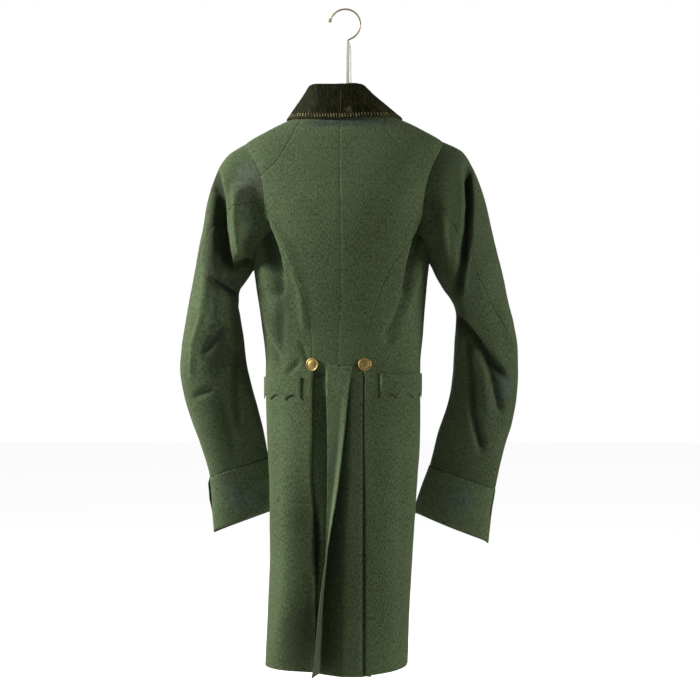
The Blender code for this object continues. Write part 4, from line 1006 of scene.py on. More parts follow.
def collar_profile(angle):
    """The collar's middle line at one angle, from the neck seam over the roll to the fall's edge."""
    rise, inward, edge_z = (float(f(abs(angle))) for f in COLLAR_AT)
    neck_z = float(NECK_HEIGHT(abs(angle)))
    reach = float(trunk_reach(angle, neck_z))
    out = np.array([math.sin(angle), math.cos(angle), 0])
    up = np.array([0, 0, 1])
    lean = np.array([COLLAR_LEAN, 0, 0]) * (rise / COLLAR_LEAN_AT) ** 0.5
    neck = out * (reach - WALL - COLLAR_WALL / 2 - COLLAR_INSIDE_NECK) + up * (neck_z - COLLAR_BELOW_NECK)
    top = out * (reach - inward) + up * (neck_z + rise) + lean
    inner = top - (out + up) * COLLAR_ROLL
    outer = top + (out - up) * COLLAR_ROLL
    _, away = normals_of(wrapped, np.array([angle * PATTERN_RADIUS]), np.array([edge_z]), -1)
    edge = trunk(angle, edge_z) + away[0] * (COLLAR_WALL / 2 + COLLAR_EDGE_CLEAR)
    fall = []
    for share in COLLAR_FALL_SHARES:
        point = outer * (1 - share) + edge * share + out * COLLAR_FULL
        if point[2] < neck_z + COLLAR_FALL_NEAR:
            clear = COLLAR_WALL / 2 + COLLAR_FALL_CLEAR
            short = trunk_reach(angle, point[2]) + clear - float(point @ out)
            point = point + out * max(0, short)
        fall.append(point)
    return [neck, neck * 0.5 + inner * 0.5, inner, top, outer, *fall, edge]


# ---------------------------------------------------------------- cloth shells
EDGE_ROUND = 0.7 * MM
EDGE_RADIUS = 1.6 * MM
SEAM_ROUND = 0.22 * MM
SEAM_RADIUS = 1.0 * MM
EDGE_RINGS = (1.4 * MM, 3.8 * MM)
SEAM_DIP = 0.28 * MM
SEAM_HALF_WIDTH = 2.2 * MM
PUCKER = 0.35 * MM
PUCKER_REACH = 8 * MM
RUMPLE = 0.8 * MM
RUMPLES_PER_METRE = 13
CREASING = 0.3 * MM
# Painted shade in creases and fold troughs: how often the bend is spread, the bend that gives full shade,
# the share kept low on the coat and the heights over which it fades, the trough depth that gives full
# shade, and the height below which troughs are not shaded
HOLLOW_SPREAD = 3
HOLLOW_BEND = 90.0
HOLLOW_LOW = 0.25
HOLLOW_FADES = (-760 * MM, -560 * MM)
SUNK_FULL_SHADE = 17 * MM
SUNK_DOWN_TO = -520 * MM
LAPEL_SPRING = 3.2 * MM
LAPEL_SPRING_REACH = 34 * MM
CREASES_PER_METRE = 42
PUCKERS_PER_METRE = 110
ARC_STEPS = 24


def relief(points, edge, worn):
    """How far worn cloth stands out from its smooth form: rumples, and puckers and a dip at its seams."""
    rumple, crease, pucker = (
        np.array([noise.noise(Vector(p) * per_metre) for p in points])
        for per_metre in (RUMPLES_PER_METRE, CREASES_PER_METRE, PUCKERS_PER_METRE)
    )
    near = np.exp(-edge / PUCKER_REACH)
    dip = SEAM_DIP * np.exp(-((edge / SEAM_HALF_WIDTH) ** 2)) * (worn > edge + NUDGE)
    return RUMPLE * rumple + CREASING * crease + PUCKER * pucker * near - dip


def hollows(points, normals, faces):
    """How concave the cloth is at each point, from 0 to 1, spread a little along it; it sets the painted
    shade in creases.
    """
    pairs = np.array(sorted({tuple(sorted(pair)) for f in faces for pair in zip(f, (*f[1:], f[0]))}))
    first, second = pairs[:, 0], pairs[:, 1]
    count = np.maximum(np.bincount(pairs.ravel(), minlength=len(points)), 1)
    step = points[second] - points[first]
    length = np.maximum(np.linalg.norm(step, axis=1), 1e-6)

    def gathered(at_first, at_second):
        total = np.bincount(first, at_first, len(points)) + np.bincount(second, at_second, len(points))
        return total / count

    rises = [np.sum(step * normals[end], axis=1) / length**2 for end in (first, second)]
    bend = gathered(rises[0], -rises[1])
    for _ in range(HOLLOW_SPREAD):
        bend = gathered(bend[second], bend[first])
    return np.clip(bend / HOLLOW_BEND, 0, 1)


def shell(name, points, normals, faces, pattern, edge, material, slot, thick=WALL):
    """A thin wall of cloth with rounded edges, from its outer face and its place on the flat cut."""
    edge, worn, sunk_shade = edge
    points = points + normals * relief(points, edge, worn)[:, None]
    drawn = SEAM_ROUND * np.clip(1 - edge / SEAM_RADIUS, 0, 1) ** 2
    drawn = np.maximum(drawn, EDGE_ROUND * np.clip(1 - worn / EDGE_RADIUS, 0, 1) ** 2)
    outer = points - normals * drawn[:, None]
    inner = points - normals * (thick - drawn)[:, None]
    count = len(points)
    border = set()
    for face in faces:
        border.update(zip(face, (*face[1:], face[0])))
    rim = [(b, a, count + a, count + b) for a, b in border if (b, a) not in border]
    inside = [tuple(count + i for i in reversed(face)) for face in faces]
    mesh = bpy.data.meshes.new(name)
    placed = np.concatenate([outer, inner]) + [COAT_OFF_HOOK, 0, -HOOK_TO_NAPE]
    mesh.from_pydata(placed.tolist(), [], [*faces, *inside, *rim])
    mesh.shade_smooth()
    # Painted shade: the colour darkens by how concave the cloth is (less so low on the coat) and by how
    # deep its fold trough lies
    kept = HOLLOW_LOW + (1 - HOLLOW_LOW) * smooth_step(*HOLLOW_FADES, outer[:, 2])
    crease_shade = np.clip(hollows(outer, normals, faces) * kept + np.clip(sunk_shade / SUNK_FULL_SHADE, 0, 1), 0, 1)
    looks = {"edge": np.tile(edge, 2), "worn": np.tile(worn, 2), "crease_shade": np.tile(crease_shade, 2)}
    looks["inside"] = np.repeat([0.0, 1.0], count)
    for word, values in looks.items():
        mesh.attributes.new(word, "FLOAT", "POINT").data.foreach_set("value", values)
    corners = np.empty(len(mesh.loops), np.int32)
    mesh.loops.foreach_get("vertex_index", corners)
    layer = mesh.uv_layers.new(name="Cloth")
    layer.data.foreach_set("uv", np.tile(pattern, (2, 1))[corners].ravel().astype(np.float32))
    piece = bpy.data.objects.new(name, mesh)
    bpy.context.scene.collection.objects.link(piece)
    mesh.materials.append(material)
    dress(piece, slot, name.removeprefix("cloth_"))
    return piece


def dress(piece, slot, *nodes):
    """The piece stands for these solids: they are hidden, and the piece hangs from the root."""
    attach(piece, "root")
    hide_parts(*nodes)


def arc_length(face, u, v):
    """Length along the cloth from the middle to each point's u, at the point's own height."""
    shares = np.linspace(0, 1, ARC_STEPS)[:, None]
    line = face(u * shares, np.repeat(v[None, :], ARC_STEPS, axis=0))
    return np.linalg.norm(np.diff(line, axis=0), axis=-1).sum(axis=0) * np.sign(u)


def panel(name, outline, face, outward, material, slot, mesh=CLOTH_MESH, lines=(), lift=0.0, spring=0.0):
    """A piece of cloth cut to an outline on one of the coat's faces.

    It lies off that face by its lift, and its loose edges spring up from it.
    """
    outline, loose = outline
    flat, triangles = cut_outline(outline, mesh, lines)
    here, normal = normals_of(face, *flat.T, outward)
    behind, before = (fold_out(folds, *here[:, ::2].T) for folds in (BACK_FOLDS, FRONT_FOLDS))
    # Painted shade: how deep the folds' troughs lie, above a height
    sunk_shade = np.where(flat[:, 1] > SUNK_DOWN_TO, -np.where(here[:, 1] > 0, behind, before), 0)
    edge = np.stack([edge_distance(flat, outline), edge_distance(flat, outline, loose), sunk_shade])
    pattern = np.stack([arc_length(face, *flat.T), flat[:, 1]], -1)
    top = (lift + WALL if lift else 0.0) + spring * smooth_step(LAPEL_SPRING_REACH, 0, edge[1])
    faces = [t[::outward] for t in triangles]
    return shell(name, here + normal * top[:, None], normal, faces, pattern, edge, material, slot)


def grid_shell(name, points, normals, material, slot, thick=WALL, sunk_shade=0.0, loose=()):
    """A piece of cloth from a grid of points: rows down it, columns across it; loose sides aren't sewn."""
    rows, columns = points.shape[:2]
    across = np.cumsum(np.linalg.norm(np.diff(points, axis=1), axis=-1), axis=1)
    across = np.concatenate([np.zeros((rows, 1)), across], axis=1)
    down = np.cumsum(np.linalg.norm(np.diff(points, axis=0), axis=-1), axis=0)
    down = np.concatenate([np.zeros((1, columns)), down], axis=0)
    sides = {"first row": down, "last row": down[-1:] - down, "first column": across}
    sides["last column"] = across[:, -1:] - across
    edge = np.minimum.reduce(list(sides.values()))
    worn = np.minimum.reduce([sides[side] for side in loose] or [np.ones_like(across)])
    middle = across - across[:, columns // 2, None]
    pattern = np.stack([middle, -down.mean(axis=1, keepdims=True) + 0 * middle], -1)
    faces = []
    for i in range(rows - 1):
        for j in range(columns - 1):
            first = i * columns + j
            faces.append((first, first + 1, first + columns + 1, first + columns))
    facing = np.cross(points[1, 1] - points[1, 0], points[2, 0] - points[1, 0]) @ normals[1, 0]
    if facing < 0:
        faces = [face[::-1] for face in faces]
    points, normals, pattern = (grid.reshape(-1, grid.shape[-1]) for grid in (points, normals, pattern))
    edge = np.stack([edge.ravel(), worn.ravel(), (sunk_shade + 0 * worn).ravel()])
    return shell(name, points, normals, faces, pattern, edge, material, slot, thick)


def spaced(first, last, steps, near):
    """Values from first to last, with two more near each end for the wall's rounding."""
    toward = np.sign(last - first)
    middle = np.linspace(first + toward * near[1], last - toward * near[1], steps)
    return np.array([first, first + toward * near[0], *middle, last - toward * near[0], last])


# ---------------------------------------------------------------- sleeves and cuffs
SLEEVE_COLUMNS = 60
SLEEVE_ROWS_A_STEP = 10
CUFF_ROW = 15
CUFF_PROUD = 1.0 * MM
CUFF_THICKER = 0.3
CUFF_SLIT = 0.15 * DEGREE
CUFF_GAP = 0.002
CUFF_SHORTER_BEHIND = 0.07
VENT_FLARE = {"left": 3.6 * MM, "right": 0.6 * MM}
VENT_FLARES = (16 * DEGREE, 3 * DEGREE)
VENT_FLARE_STARTS = (0, 0.25)
VENT_FLARE_ENDS = (1.4, 0.8)
TURN_NUDGE = 0.004
ROW_NUDGE = 0.01
SLEEVE_SEAM_TURN = 0.05 * DEGREE
SLEEVE_TUCK = 0.06
SLEEVE_RADIUS = 55 * MM


def sleeve_piece(name, face, ends_at, first, last, folds, material, proud=0.0, loose=()):
    """A lengthwise piece of a sleeve between its two seams."""
    near = [ring / SLEEVE_ROW_LENGTH for ring in EDGE_RINGS]
    rows = spaced(first, last, max(6, round((last - first) * SLEEVE_ROWS_A_STEP)), near)
    close = [ring / SLEEVE_RADIUS for ring in EDGE_RINGS]
    turn = np.array([spaced(*ends_at(row), SLEEVE_COLUMNS, close) for row in rows])
    row = np.repeat(rows[:, None], turn.shape[1], axis=1)
    here = face(turn, row)
    round_it = face(turn + TURN_NUDGE, row) - face(turn - TURN_NUDGE, row)
    down_it = face(turn, row + ROW_NUDGE) - face(turn, row - ROW_NUDGE)
    normal = unit(np.cross(round_it, down_it))
    middle = face(np.linspace(0, 2 * math.pi, 13)[None, :-1], rows[:, None]).mean(axis=1, keepdims=True)
    normal = normal * np.sign(np.sum(normal * (here - middle), axis=-1, keepdims=True))
    # Painted shade: how deep the folds' troughs lie, on the side that faces the back
    sunk_shade = -fold_out(folds, np.abs(here[..., 0]), here[..., 2]) * smooth_step(0, 0.4, normal[..., 1])
    if "last column" in loose:
        down = row - first
        vent = smooth_step(*VENT_FLARES, turn[:, -1:] - turn)
        vent = vent * smooth_step(*VENT_FLARE_STARTS, down) * smooth_step(*VENT_FLARE_ENDS, down)
        here = here + normal * (VENT_FLARE[name.split("_")[2]] * vent)[..., None]
        # Painted shade along the cuff's flared vent
        sunk_shade = sunk_shade + SUNK_FULL_SHADE * vent
    thick = WALL + proud * CUFF_THICKER
    return grid_shell(name, here + normal * proud, normal, material, "wool", thick, sunk_shade, loose)


def make_sleeve(word, side, rows, folds, wool, cuff_wool):
    face, at = sleeve_face(side, rows, folds)
    last = len(rows) - 1

    def ends(under, slit):
        def at_row(row):
            hind = float(at["hind"](row)) + (slit if under else -slit)
            fore = float(at["fore"](row))
            if under:
                return hind + SLEEVE_SEAM_TURN, fore - SLEEVE_SEAM_TURN
            return fore - 2 * math.pi + SLEEVE_SEAM_TURN, hind - SLEEVE_SEAM_TURN

        return at_row

    for under, where in ((False, "upper"), (True, "under")):
        sleeve, cuff = (f"cloth_{part}_{word}_{where}" for part in ("sleeve", "cuff"))
        sleeve_piece(sleeve, face, ends(under, 0), -SLEEVE_TUCK, CUFF_ROW - CUFF_GAP, folds, wool)
        loose = ("last row", "first column" if under else "last column")
        ends_at, foot = ends(under, CUFF_SLIT), last - (CUFF_SHORTER_BEHIND if under else 0)
        sleeve_piece(cuff, face, ends_at, CUFF_ROW + CUFF_GAP, foot, folds, cuff_wool, CUFF_PROUD, loose)


# ---------------------------------------------------------------- collar
COLLAR_COLUMNS = 150
COLLAR_ROWS = 64
COLLAR_LENGTH = 125 * MM
COLLAR_RADIUS = 85 * MM


def make_collar(velvet):
    near = [ring / COLLAR_RADIUS for ring in EDGE_RINGS]
    angles = spaced(-COLLAR_END, COLLAR_END, COLLAR_COLUMNS, near)
    profiles = np.array([collar_profile(a) for a in angles])
    lengths = np.linalg.norm(np.diff(profiles, axis=1), axis=-1)
    middle = []
    for profile, steps in zip(profiles, lengths):
        along = np.concatenate([[0], np.cumsum(steps)])
        place = spaced(0, 1, COLLAR_ROWS, [ring / COLLAR_LENGTH for ring in EDGE_RINGS]) * along[-1]
        middle.append(np.stack([curve(along, profile[:, i])(place) for i in range(3)], -1))
    middle = np.array(middle)
    normal = unit(np.cross(np.gradient(middle, axis=0), np.gradient(middle, axis=1)))
    outer = middle + normal * COLLAR_WALL / 2
    loose = ("first row", "last row", "last column")
    return grid_shell("cloth_collar", outer, normal, velvet, "velvet", COLLAR_WALL, loose=loose)


# ---------------------------------------------------------------- finishes
FLOAT, VECTOR = "NodeSocketFloat", "NodeSocketVector"


def add(tree, kind, sockets=None, **settings):
    """A shader node with its settings, and its inputs set or linked by name or number."""
    node = tree.nodes.new(kind)
    for key, value in settings.items():
        setattr(node, key, value)
    for key, value in (sockets or {}).items():
        if isinstance(value, bpy.types.NodeSocket):
            tree.links.new(value, node.inputs[key])
        else:
            node.inputs[key].default_value = value
    return node


def new_group(name, inputs, *outputs):
    """An empty node group: its place and more inputs as (name, type, value), and number outputs."""
    group = bpy.data.node_groups.new(name, "ShaderNodeTree")
    for word, kind, value in [("Place", VECTOR, None), *inputs]:
        socket = group.interface.new_socket(word, in_out="INPUT", socket_type=kind)
        if value is not None:
            socket.default_value = value
    for word in outputs:
        group.interface.new_socket(word, in_out="OUTPUT", socket_type=FLOAT)
    return group, add(group, "NodeGroupInput").outputs, add(group, "NodeGroupOutput").inputs


def effect(tree, name, place, **sockets):
    """The outputs of one of the shared effects, placed in a finish."""
    group = bpy.data.node_groups[name]
    return add(tree, "ShaderNodeGroup", {"Place": place, **sockets}, node_tree=group).outputs


def worked_out(tree, operation, a, b):
    return add(tree, "ShaderNodeMath", {0: a, 1: b}, operation=operation).outputs[0]


def plus(tree, a, b):
    return worked_out(tree, "ADD", a, b)


def times(tree, a, b):
    return worked_out(tree, "MULTIPLY", a, b)


def mixed(tree, share, a, b, blend="MIX"):
    sockets = {0: share, 6: a, 7: b}
    return add(tree, "ShaderNodeMix", sockets, data_type="RGBA", blend_type=blend).outputs[2]


def noisy(tree, vector, scale, detail, roughness):
    sockets = {"Vector": vector, "Scale": scale, "Detail": detail, "Roughness": roughness}
    return add(tree, "ShaderNodeTexNoise", sockets).outputs["Fac"]


def ranged(tree, value, low, high, to_low=0.0, to_high=1.0, smooth=False):
    sockets = {0: value, 1: low, 2: high, 3: to_low, 4: to_high}
    kind = "SMOOTHSTEP" if smooth else "LINEAR"
    return add(tree, "ShaderNodeMapRange", sockets, interpolation_type=kind).outputs[0]


def stretched(tree, vector, scale):
    return add(tree, "ShaderNodeMapping", {"Vector": vector, "Scale": scale}).outputs[0]


def vectors(tree, operation, *given):
    return add(tree, "ShaderNodeVectorMath", dict(enumerate(given)), operation=operation).outputs


def raise_surface(tree, shader, height, strength, distance):
    sockets = {"Height": height, "Strength": strength, "Distance": distance}
    tree.links.new(add(tree, "ShaderNodeBump", sockets).outputs[0], shader.inputs["Normal"])


# The worn threads of a weave: their share of its shade, and how closely they run across and along the cloth
THREADS = ((0.48, (520, 165, 1)), (0.32, (190, 540, 1)))
THREAD_HEIGHT = 0.35
FIBRE_SHADE, FIBRE_HEIGHT = 0.2, 0.3
PATCH_RAGS = 130.0
PATCH_RAGGED = 3.0


def make_nap_group():
    """Worn threads crossing, under a short nap: a shade from 0 to 1 and a height."""
    inputs = [("Pattern", VECTOR, None), ("Fibres", FLOAT, 900.0), ("Threads", FLOAT, 1.0)]
    group, given, result = new_group("nap", inputs, "Shade", "Height")
    fibre = noisy(group, given["Place"], given["Fibres"], 2, 0.6)
    shade, height = times(group, fibre, FIBRE_SHADE), times(group, fibre, FIBRE_HEIGHT)
    for weight, scale in THREADS:
        thread = noisy(group, stretched(group, given["Pattern"], scale), given["Threads"], 2, 0.65)
        shade = plus(group, shade, times(group, thread, weight))
        height = plus(group, height, times(group, thread, THREAD_HEIGHT))
    group.links.new(shade, result["Shade"])
    group.links.new(height, result["Height"])


def make_wear_group():
    """Where an edge is rubbed: 1 on it, broken up and fading over the given width."""
    inputs = [("Edge", FLOAT, 1.0), ("Width", FLOAT, 3 * MM), ("Break", FLOAT, 140.0)]
    group, given, result = new_group("wear", inputs, "Mask")
    uneven = ranged(group, noisy(group, given["Place"], given["Break"], 4, 0.65), 0.3, 0.7)
    reach = worked_out(group, "MAXIMUM", times(group, given["Width"], uneven), 0.1 * MM)
    share = worked_out(group, "DIVIDE", given["Edge"], reach)
    group.links.new(ranged(group, share, 1.0, 0.3, smooth=True), result["Mask"])


def make_mottle_group():
    """Slow, blotchy change over a surface, from 0 to 1."""
    group, given, result = new_group("mottle", [("Scale", FLOAT, 9.0)], "Mask")
    slow = noisy(group, given["Place"], given["Scale"], 4, 0.6)
    group.links.new(ranged(group, slow, 0.32, 0.68, smooth=True), result["Mask"])


def make_soft_patch_group():
    """A soft patch round a place: 1 in its middle, with a ragged edge."""
    inputs = [("Centre", VECTOR, None), ("Size", VECTOR, (1, 1, 1)), ("Break", FLOAT, 0.5)]
    group, given, result = new_group("soft_patch", inputs, "Mask")
    away = vectors(group, "SUBTRACT", given["Place"], given["Centre"])[0]
    far = vectors(group, "LENGTH", vectors(group, "DIVIDE", away, given["Size"])[0])["Value"]
    ragged = worked_out(group, "SUBTRACT", noisy(group, given["Place"], PATCH_RAGS, 4, 0.65), 0.5)
    far = plus(group, far, times(group, ragged, times(group, given["Break"], PATCH_RAGGED)))
    group.links.new(ranged(group, far, 1.1, 0.5, smooth=True), result["Mask"])


def start_finish(name, **shader_values):
    material = bpy.data.materials.new(name)
    material.use_nodes = True
    tree = material.node_tree
    shader = tree.nodes["Principled BSDF"]
    for key, value in shader_values.items():
        shader.inputs[key.replace("_", " ")].default_value = value
    return material, tree, shader, add(tree, "ShaderNodeTexCoord").outputs["Object"]


# Stains, faded patches, specks of lint, and patches of painted shade and painted light: middle and half
# sizes at the hook's place, how ragged, how strong, and colour
PATCH_COLUMNS = "x y z wide deep tall broken share colour"
STAINS_AND_PAINTED_LIGHT = table(
    PATCH_COLUMNS,
    # painted shadow under the collar
    (-1.0, 58, -204.4, 100, 40, 9, 0.5, 0.75, (0.034, 0.05, 0.04)),
    (39.5, 70, -643.4, 7, 20, 9, 0.6, 0.6, (0.05, 0.048, 0.052)),
    (152.8, 62, -307.5, 24, 30, 34, 0.9, 0.22, (0.15, 0.11, 0.10)),
    (169.8, 55, -298.0, 22, 40, 30, 0.7, 0.42, (0.17, 0.2, 0.14)),
    (164.5, 55, -388.8, 16, 40, 22, 0.7, 0.35, (0.15, 0.19, 0.12)),
    (163.4, 62, -338.7, 16, 30, 20, 0.9, 0.3, (0.09, 0.105, 0.115)),
    (-282.0, 15, -666.3, 18, 40, 34, 0.8, 0.6, (0.058, 0.08, 0.07)),
    (202.8, 58, -484.8, 20, 40, 16, 0.7, 0.6, (0.03, 0.036, 0.036)),
    (197.2, -70, -871.9, 40, 40, 30, 0.8, 0.4, (0.085, 0.115, 0.11)),
    (224.8, -60, -831.6, 16, 40, 14, 0.8, 0.4, (0.08, 0.066, 0.06)),
    (-190.6, -70, -872.4, 44, 40, 34, 0.8, 0.4, (0.07, 0.092, 0.085)),
    (112.3, 50, -862.0, 3, 20, 4, 0.5, 0.7, (0.02, 0.024, 0.014)),
    (60.7, 74, -646.8, 1.7, 12, 1.7, 0.3, 0.9, (0.5, 0.2, 0.06)),
    (41.6, 62, -651.1, 1.3, 16, 1.3, 0.3, 0.85, (0.42, 0.4, 0.32)),
    (23.3, 60, -713.8, 1.3, 16, 1.3, 0.3, 0.85, (0.42, 0.4, 0.32)),
    (15.0, 62, -729.7, 1.3, 16, 1.3, 0.3, 0.85, (0.42, 0.4, 0.32)),
    (44.7, 56, -762.9, 1.3, 16, 1.3, 0.3, 0.85, (0.42, 0.4, 0.32)),
    # painted shade low on the left tail, beside its pleat
    (55.2, 70, -1059.2, 17, 24, 90, 0.4, 0.5, (0.022, 0.030, 0.014)),
    (160.2, -80, -872.4, 12, 40, 22, 0.8, 0.45, (0.04, 0.055, 0.058)),
    # the next three rows: painted shade on the left sleeve's outer side and its elbow
    (230.8, 30, -423.8, 14, 60, 50, 0.5, 0.35, (0.022, 0.029, 0.016)),
    (227.3, 40, -445.5, 20, 60, 105, 0.6, 0.6, (0.026, 0.034, 0.020)),
    (227.2, 30, -600.1, 34, 60, 58, 0.7, 0.68, (0.024, 0.033, 0.022)),
    # painted shade on the right sleeve
    (-245.6, 20, -417.2, 24, 60, 80, 0.6, 0.22, (0.03, 0.04, 0.024)),
    # painted shade in the fold at the left side above the waist
    (100.3, 60, -544.4, 20, 40, 66, 0.4, 0.5, (0.028, 0.036, 0.018)),
    # painted shade low on the left tail
    (72.8, 60, -1104.3, 50, 40, 84, 0.35, 0.55, (0.028, 0.036, 0.016)),
    # the next two rows: painted light on the lap of the back's skirt
    (7.7, 74, -755.6, 20, 30, 130, 0.7, 0.36, (0.135, 0.175, 0.095)),
    (14.0, 80, -884.7, 10, 24, 60, 0.25, 0.4, (0.125, 0.165, 0.085)),
    # painted shadow in the gap between the left tail's pleat and the lap
    (44.2, 60, -938.8, 10, 40, 75, 0.4, 0.85, (0.010, 0.014, 0.007)),
)
# Where the nap is rubbed through, so that single threads show
MARK = (1, 1, 1)
RUBBED = table(
    PATCH_COLUMNS,
    (167.2, 60, -300.2, 42, 40, 56, 0.7, 1.0, MARK),
    (202.7, -70, -862.9, 64, 60, 64, 0.5, 1.0, MARK),
    (-196.0, -70, -877.7, 66, 60, 62, 0.5, 0.75, MARK),
    (207.7, 40, -512.3, 40, 60, 60, 0.9, 0.3, MARK),
    (-272.9, 0, -687.6, 40, 60, 60, 0.9, 0.45, MARK),
    (-6.2, 58, -204.5, 120, 40, 12, 0.6, 0.6, MARK),
)
NAP_LOST = (0.135, 0.170, 0.125, 1)
NAP_FELTED = (0.020, 0.026, 0.024, 1)
COLLAR_STAINS = table(
    PATCH_COLUMNS,
    (1.9, 56, -165.9, 0.9, 40, 34, 0.1, 0.55, (0.1, 0.095, 0.05)),
    (-12.7, 62, -181.6, 8, 20, 7, 0.7, 0.7, (0.085, 0.075, 0.035)),
    (66.1, 40, -163.0, 26, 40, 26, 0.9, 0.12, (0.05, 0.055, 0.03)),
    (59.5, 50, -183.5, 0.9, 20, 8, 0.1, 0.5, (0.12, 0.11, 0.06)),
    (-73.4, 30, -174.1, 16, 40, 16, 0.9, 0.35, (0.055, 0.05, 0.022)),
)
WOOL_DEEP = (0.019, 0.029, 0.011)
WOOL_LIT = (0.118, 0.160, 0.074)
WOOL_OLIVE = (0.125, 0.125, 0.035)
WOOL_WORN = (0.15, 0.16, 0.10, 1)
WOOL_INSIDE = (0.045, 0.055, 0.034, 1)
# Colour of the painted shade in creases and fold troughs
WOOL_CREASE_SHADE = (0.014, 0.019, 0.010, 1)
WOOL_SHEEN = (0.62, 0.68, 0.5, 1)
SEAM_SHADE = (0.5, 0.5, 0.5, 1)
SEAM_DARK = (0.2 * MM, 1.1 * MM, 0.34, 0)
SEAM_DARK_ACROSS = (-0.06, 0.06, 0.5, 1)
# How much of the wool's tone comes from slow blotches, quick blotches and its threads
WOOL_TONE = (0.14, 0.07, 0.79)
VELVET_DEEP = (0.002, 0.0025, 0.001, 1)
VELVET_LIT = (0.016, 0.016, 0.006, 1)
VELVET_RUBBED = (0.060, 0.056, 0.022, 1)
VELVET_WORN = (0.12, 0.105, 0.045, 1)
VELVET_SHEEN = (0.32, 0.30, 0.18, 1)
STITCH = (0.42, 0.37, 0.20, 1)
STITCH_STEP = 4.4 * MM
STITCH_BLUR = 0.5 * MM
STITCH_FROM_EDGE = (3.8 * MM, 10.0 * MM)


# Soft patches mixed into a colour: stains and wear, and painted shade and painted light
def stains_and_painted_light(tree, place, rows, colour):
    for row in rows:
        centre, size = (tuple(value * MM for value in row[i : i + 3]) for i in (0, 3))
        spot = effect(tree, "soft_patch", place, Centre=centre, Size=size, Break=row.broken)[0]
        colour = mixed(tree, times(tree, spot, row.share), colour, (*row.colour, 1))
    return colour


def weighed(tree, *pairs):
    """The sum of values, each with its weight."""
    (value, weight), *more = pairs
    total = times(tree, value, weight)
    for value, weight in more:
        total = plus(tree, total, times(tree, value, weight))
    return total


def attribute(tree, name):
    return add(tree, "ShaderNodeAttribute", attribute_name=name).outputs["Fac"]


def rub_through(tree, place, colour):
    """Pale threads and dark felted nap, mixed where the nap is rubbed."""
    thin = stains_and_painted_light(tree, place, RUBBED, (0, 0, 0, 1))
    fine, coarse = noisy(tree, place, 520.0, 4, 0.75), noisy(tree, place, 150.0, 4, 0.7)
    speck = weighed(tree, (fine, 0.6), (coarse, 0.4))
    for high, most, shade in ((0.62, 0.75, NAP_LOST), (0.38, 0.7, NAP_FELTED)):
        colour = mixed(tree, times(tree, thin, ranged(tree, speck, 0.5, high, 0, most)), colour, shade)
    return colour


def make_wool(name, share):
    """The coat's wool; the share makes it paler or darker: paler on the cuffs for their worn nap, and on
    the sleeves as painted light and shade, the right sleeve darker as on the shaded side.
    """
    looks = {"Sheen_Weight": 0.12, "Sheen_Roughness": 0.5, "Sheen_Tint": WOOL_SHEEN}
    material, tree, shader, place = start_finish(name, Roughness=0.92, Specular_IOR_Level=0.2, **looks)
    deep, lit, olive = ((*(v * share for v in colour), 1) for colour in (WOOL_DEEP, WOOL_LIT, WOOL_OLIVE))
    pattern = add(tree, "ShaderNodeUVMap", uv_map="Cloth").outputs[0]
    nap = effect(tree, "nap", place, Pattern=pattern, Fibres=900.0)
    slow, quick = (effect(tree, "mottle", place, Scale=scale)[0] for scale in (7.0, 60.0))
    shade = ranged(tree, nap["Shade"], 0.40, 0.60)
    colour = mixed(tree, weighed(tree, *zip((slow, quick, shade), WOOL_TONE)), deep, lit)
    colour = mixed(tree, ranged(tree, noisy(tree, place, 420.0, 3, 0.7), 0.5, 0.75, 0, 0.45), colour, olive)
    colour = stains_and_painted_light(tree, place, STAINS_AND_PAINTED_LIGHT, colour)
    colour = rub_through(tree, place, colour)
    across = add(tree, "ShaderNodeSeparateXYZ", {0: place}).outputs["X"]
    sewn = ranged(tree, attribute(tree, "edge"), *SEAM_DARK)
    sewn = times(tree, sewn, ranged(tree, across, *SEAM_DARK_ACROSS))
    colour = mixed(tree, sewn, colour, SEAM_SHADE, "MULTIPLY")
    rubbed = effect(tree, "wear", place, Edge=attribute(tree, "worn"), Width=2.6 * MM, Break=160.0)[0]
    colour = mixed(tree, times(tree, rubbed, 0.6), colour, WOOL_WORN)
    # Painted shade in creases and fold troughs
    colour = mixed(tree, times(tree, attribute(tree, "crease_shade"), 0.7), colour, WOOL_CREASE_SHADE)
    colour = mixed(tree, times(tree, attribute(tree, "inside"), 0.6), colour, WOOL_INSIDE)
    tree.links.new(colour, shader.inputs["Base Color"])
    raise_surface(tree, shader, nap["Height"], 0.6, 0.8 * MM)
    return material


def stitches(tree, pattern, worn, place):
    """Where the short pale stitches along the collar's edge lie; some are lost."""
    along = add(tree, "ShaderNodeSeparateXYZ", {0: pattern}).outputs["Y"]
    turn = worked_out(tree, "SINE", times(tree, along, 2 * math.pi / STITCH_STEP), 0.0)
    near, far = STITCH_FROM_EDGE
    after = ranged(tree, worn, near - STITCH_BLUR, near)
    band = times(tree, after, ranged(tree, worn, far, far - STITCH_BLUR))
    kept = ranged(tree, noisy(tree, place, 160.0, 3, 0.7), 0.40, 0.62, 0.12, 1.0)
    return times(tree, times(tree, ranged(tree, turn, 0.55, 0.8), band), kept)


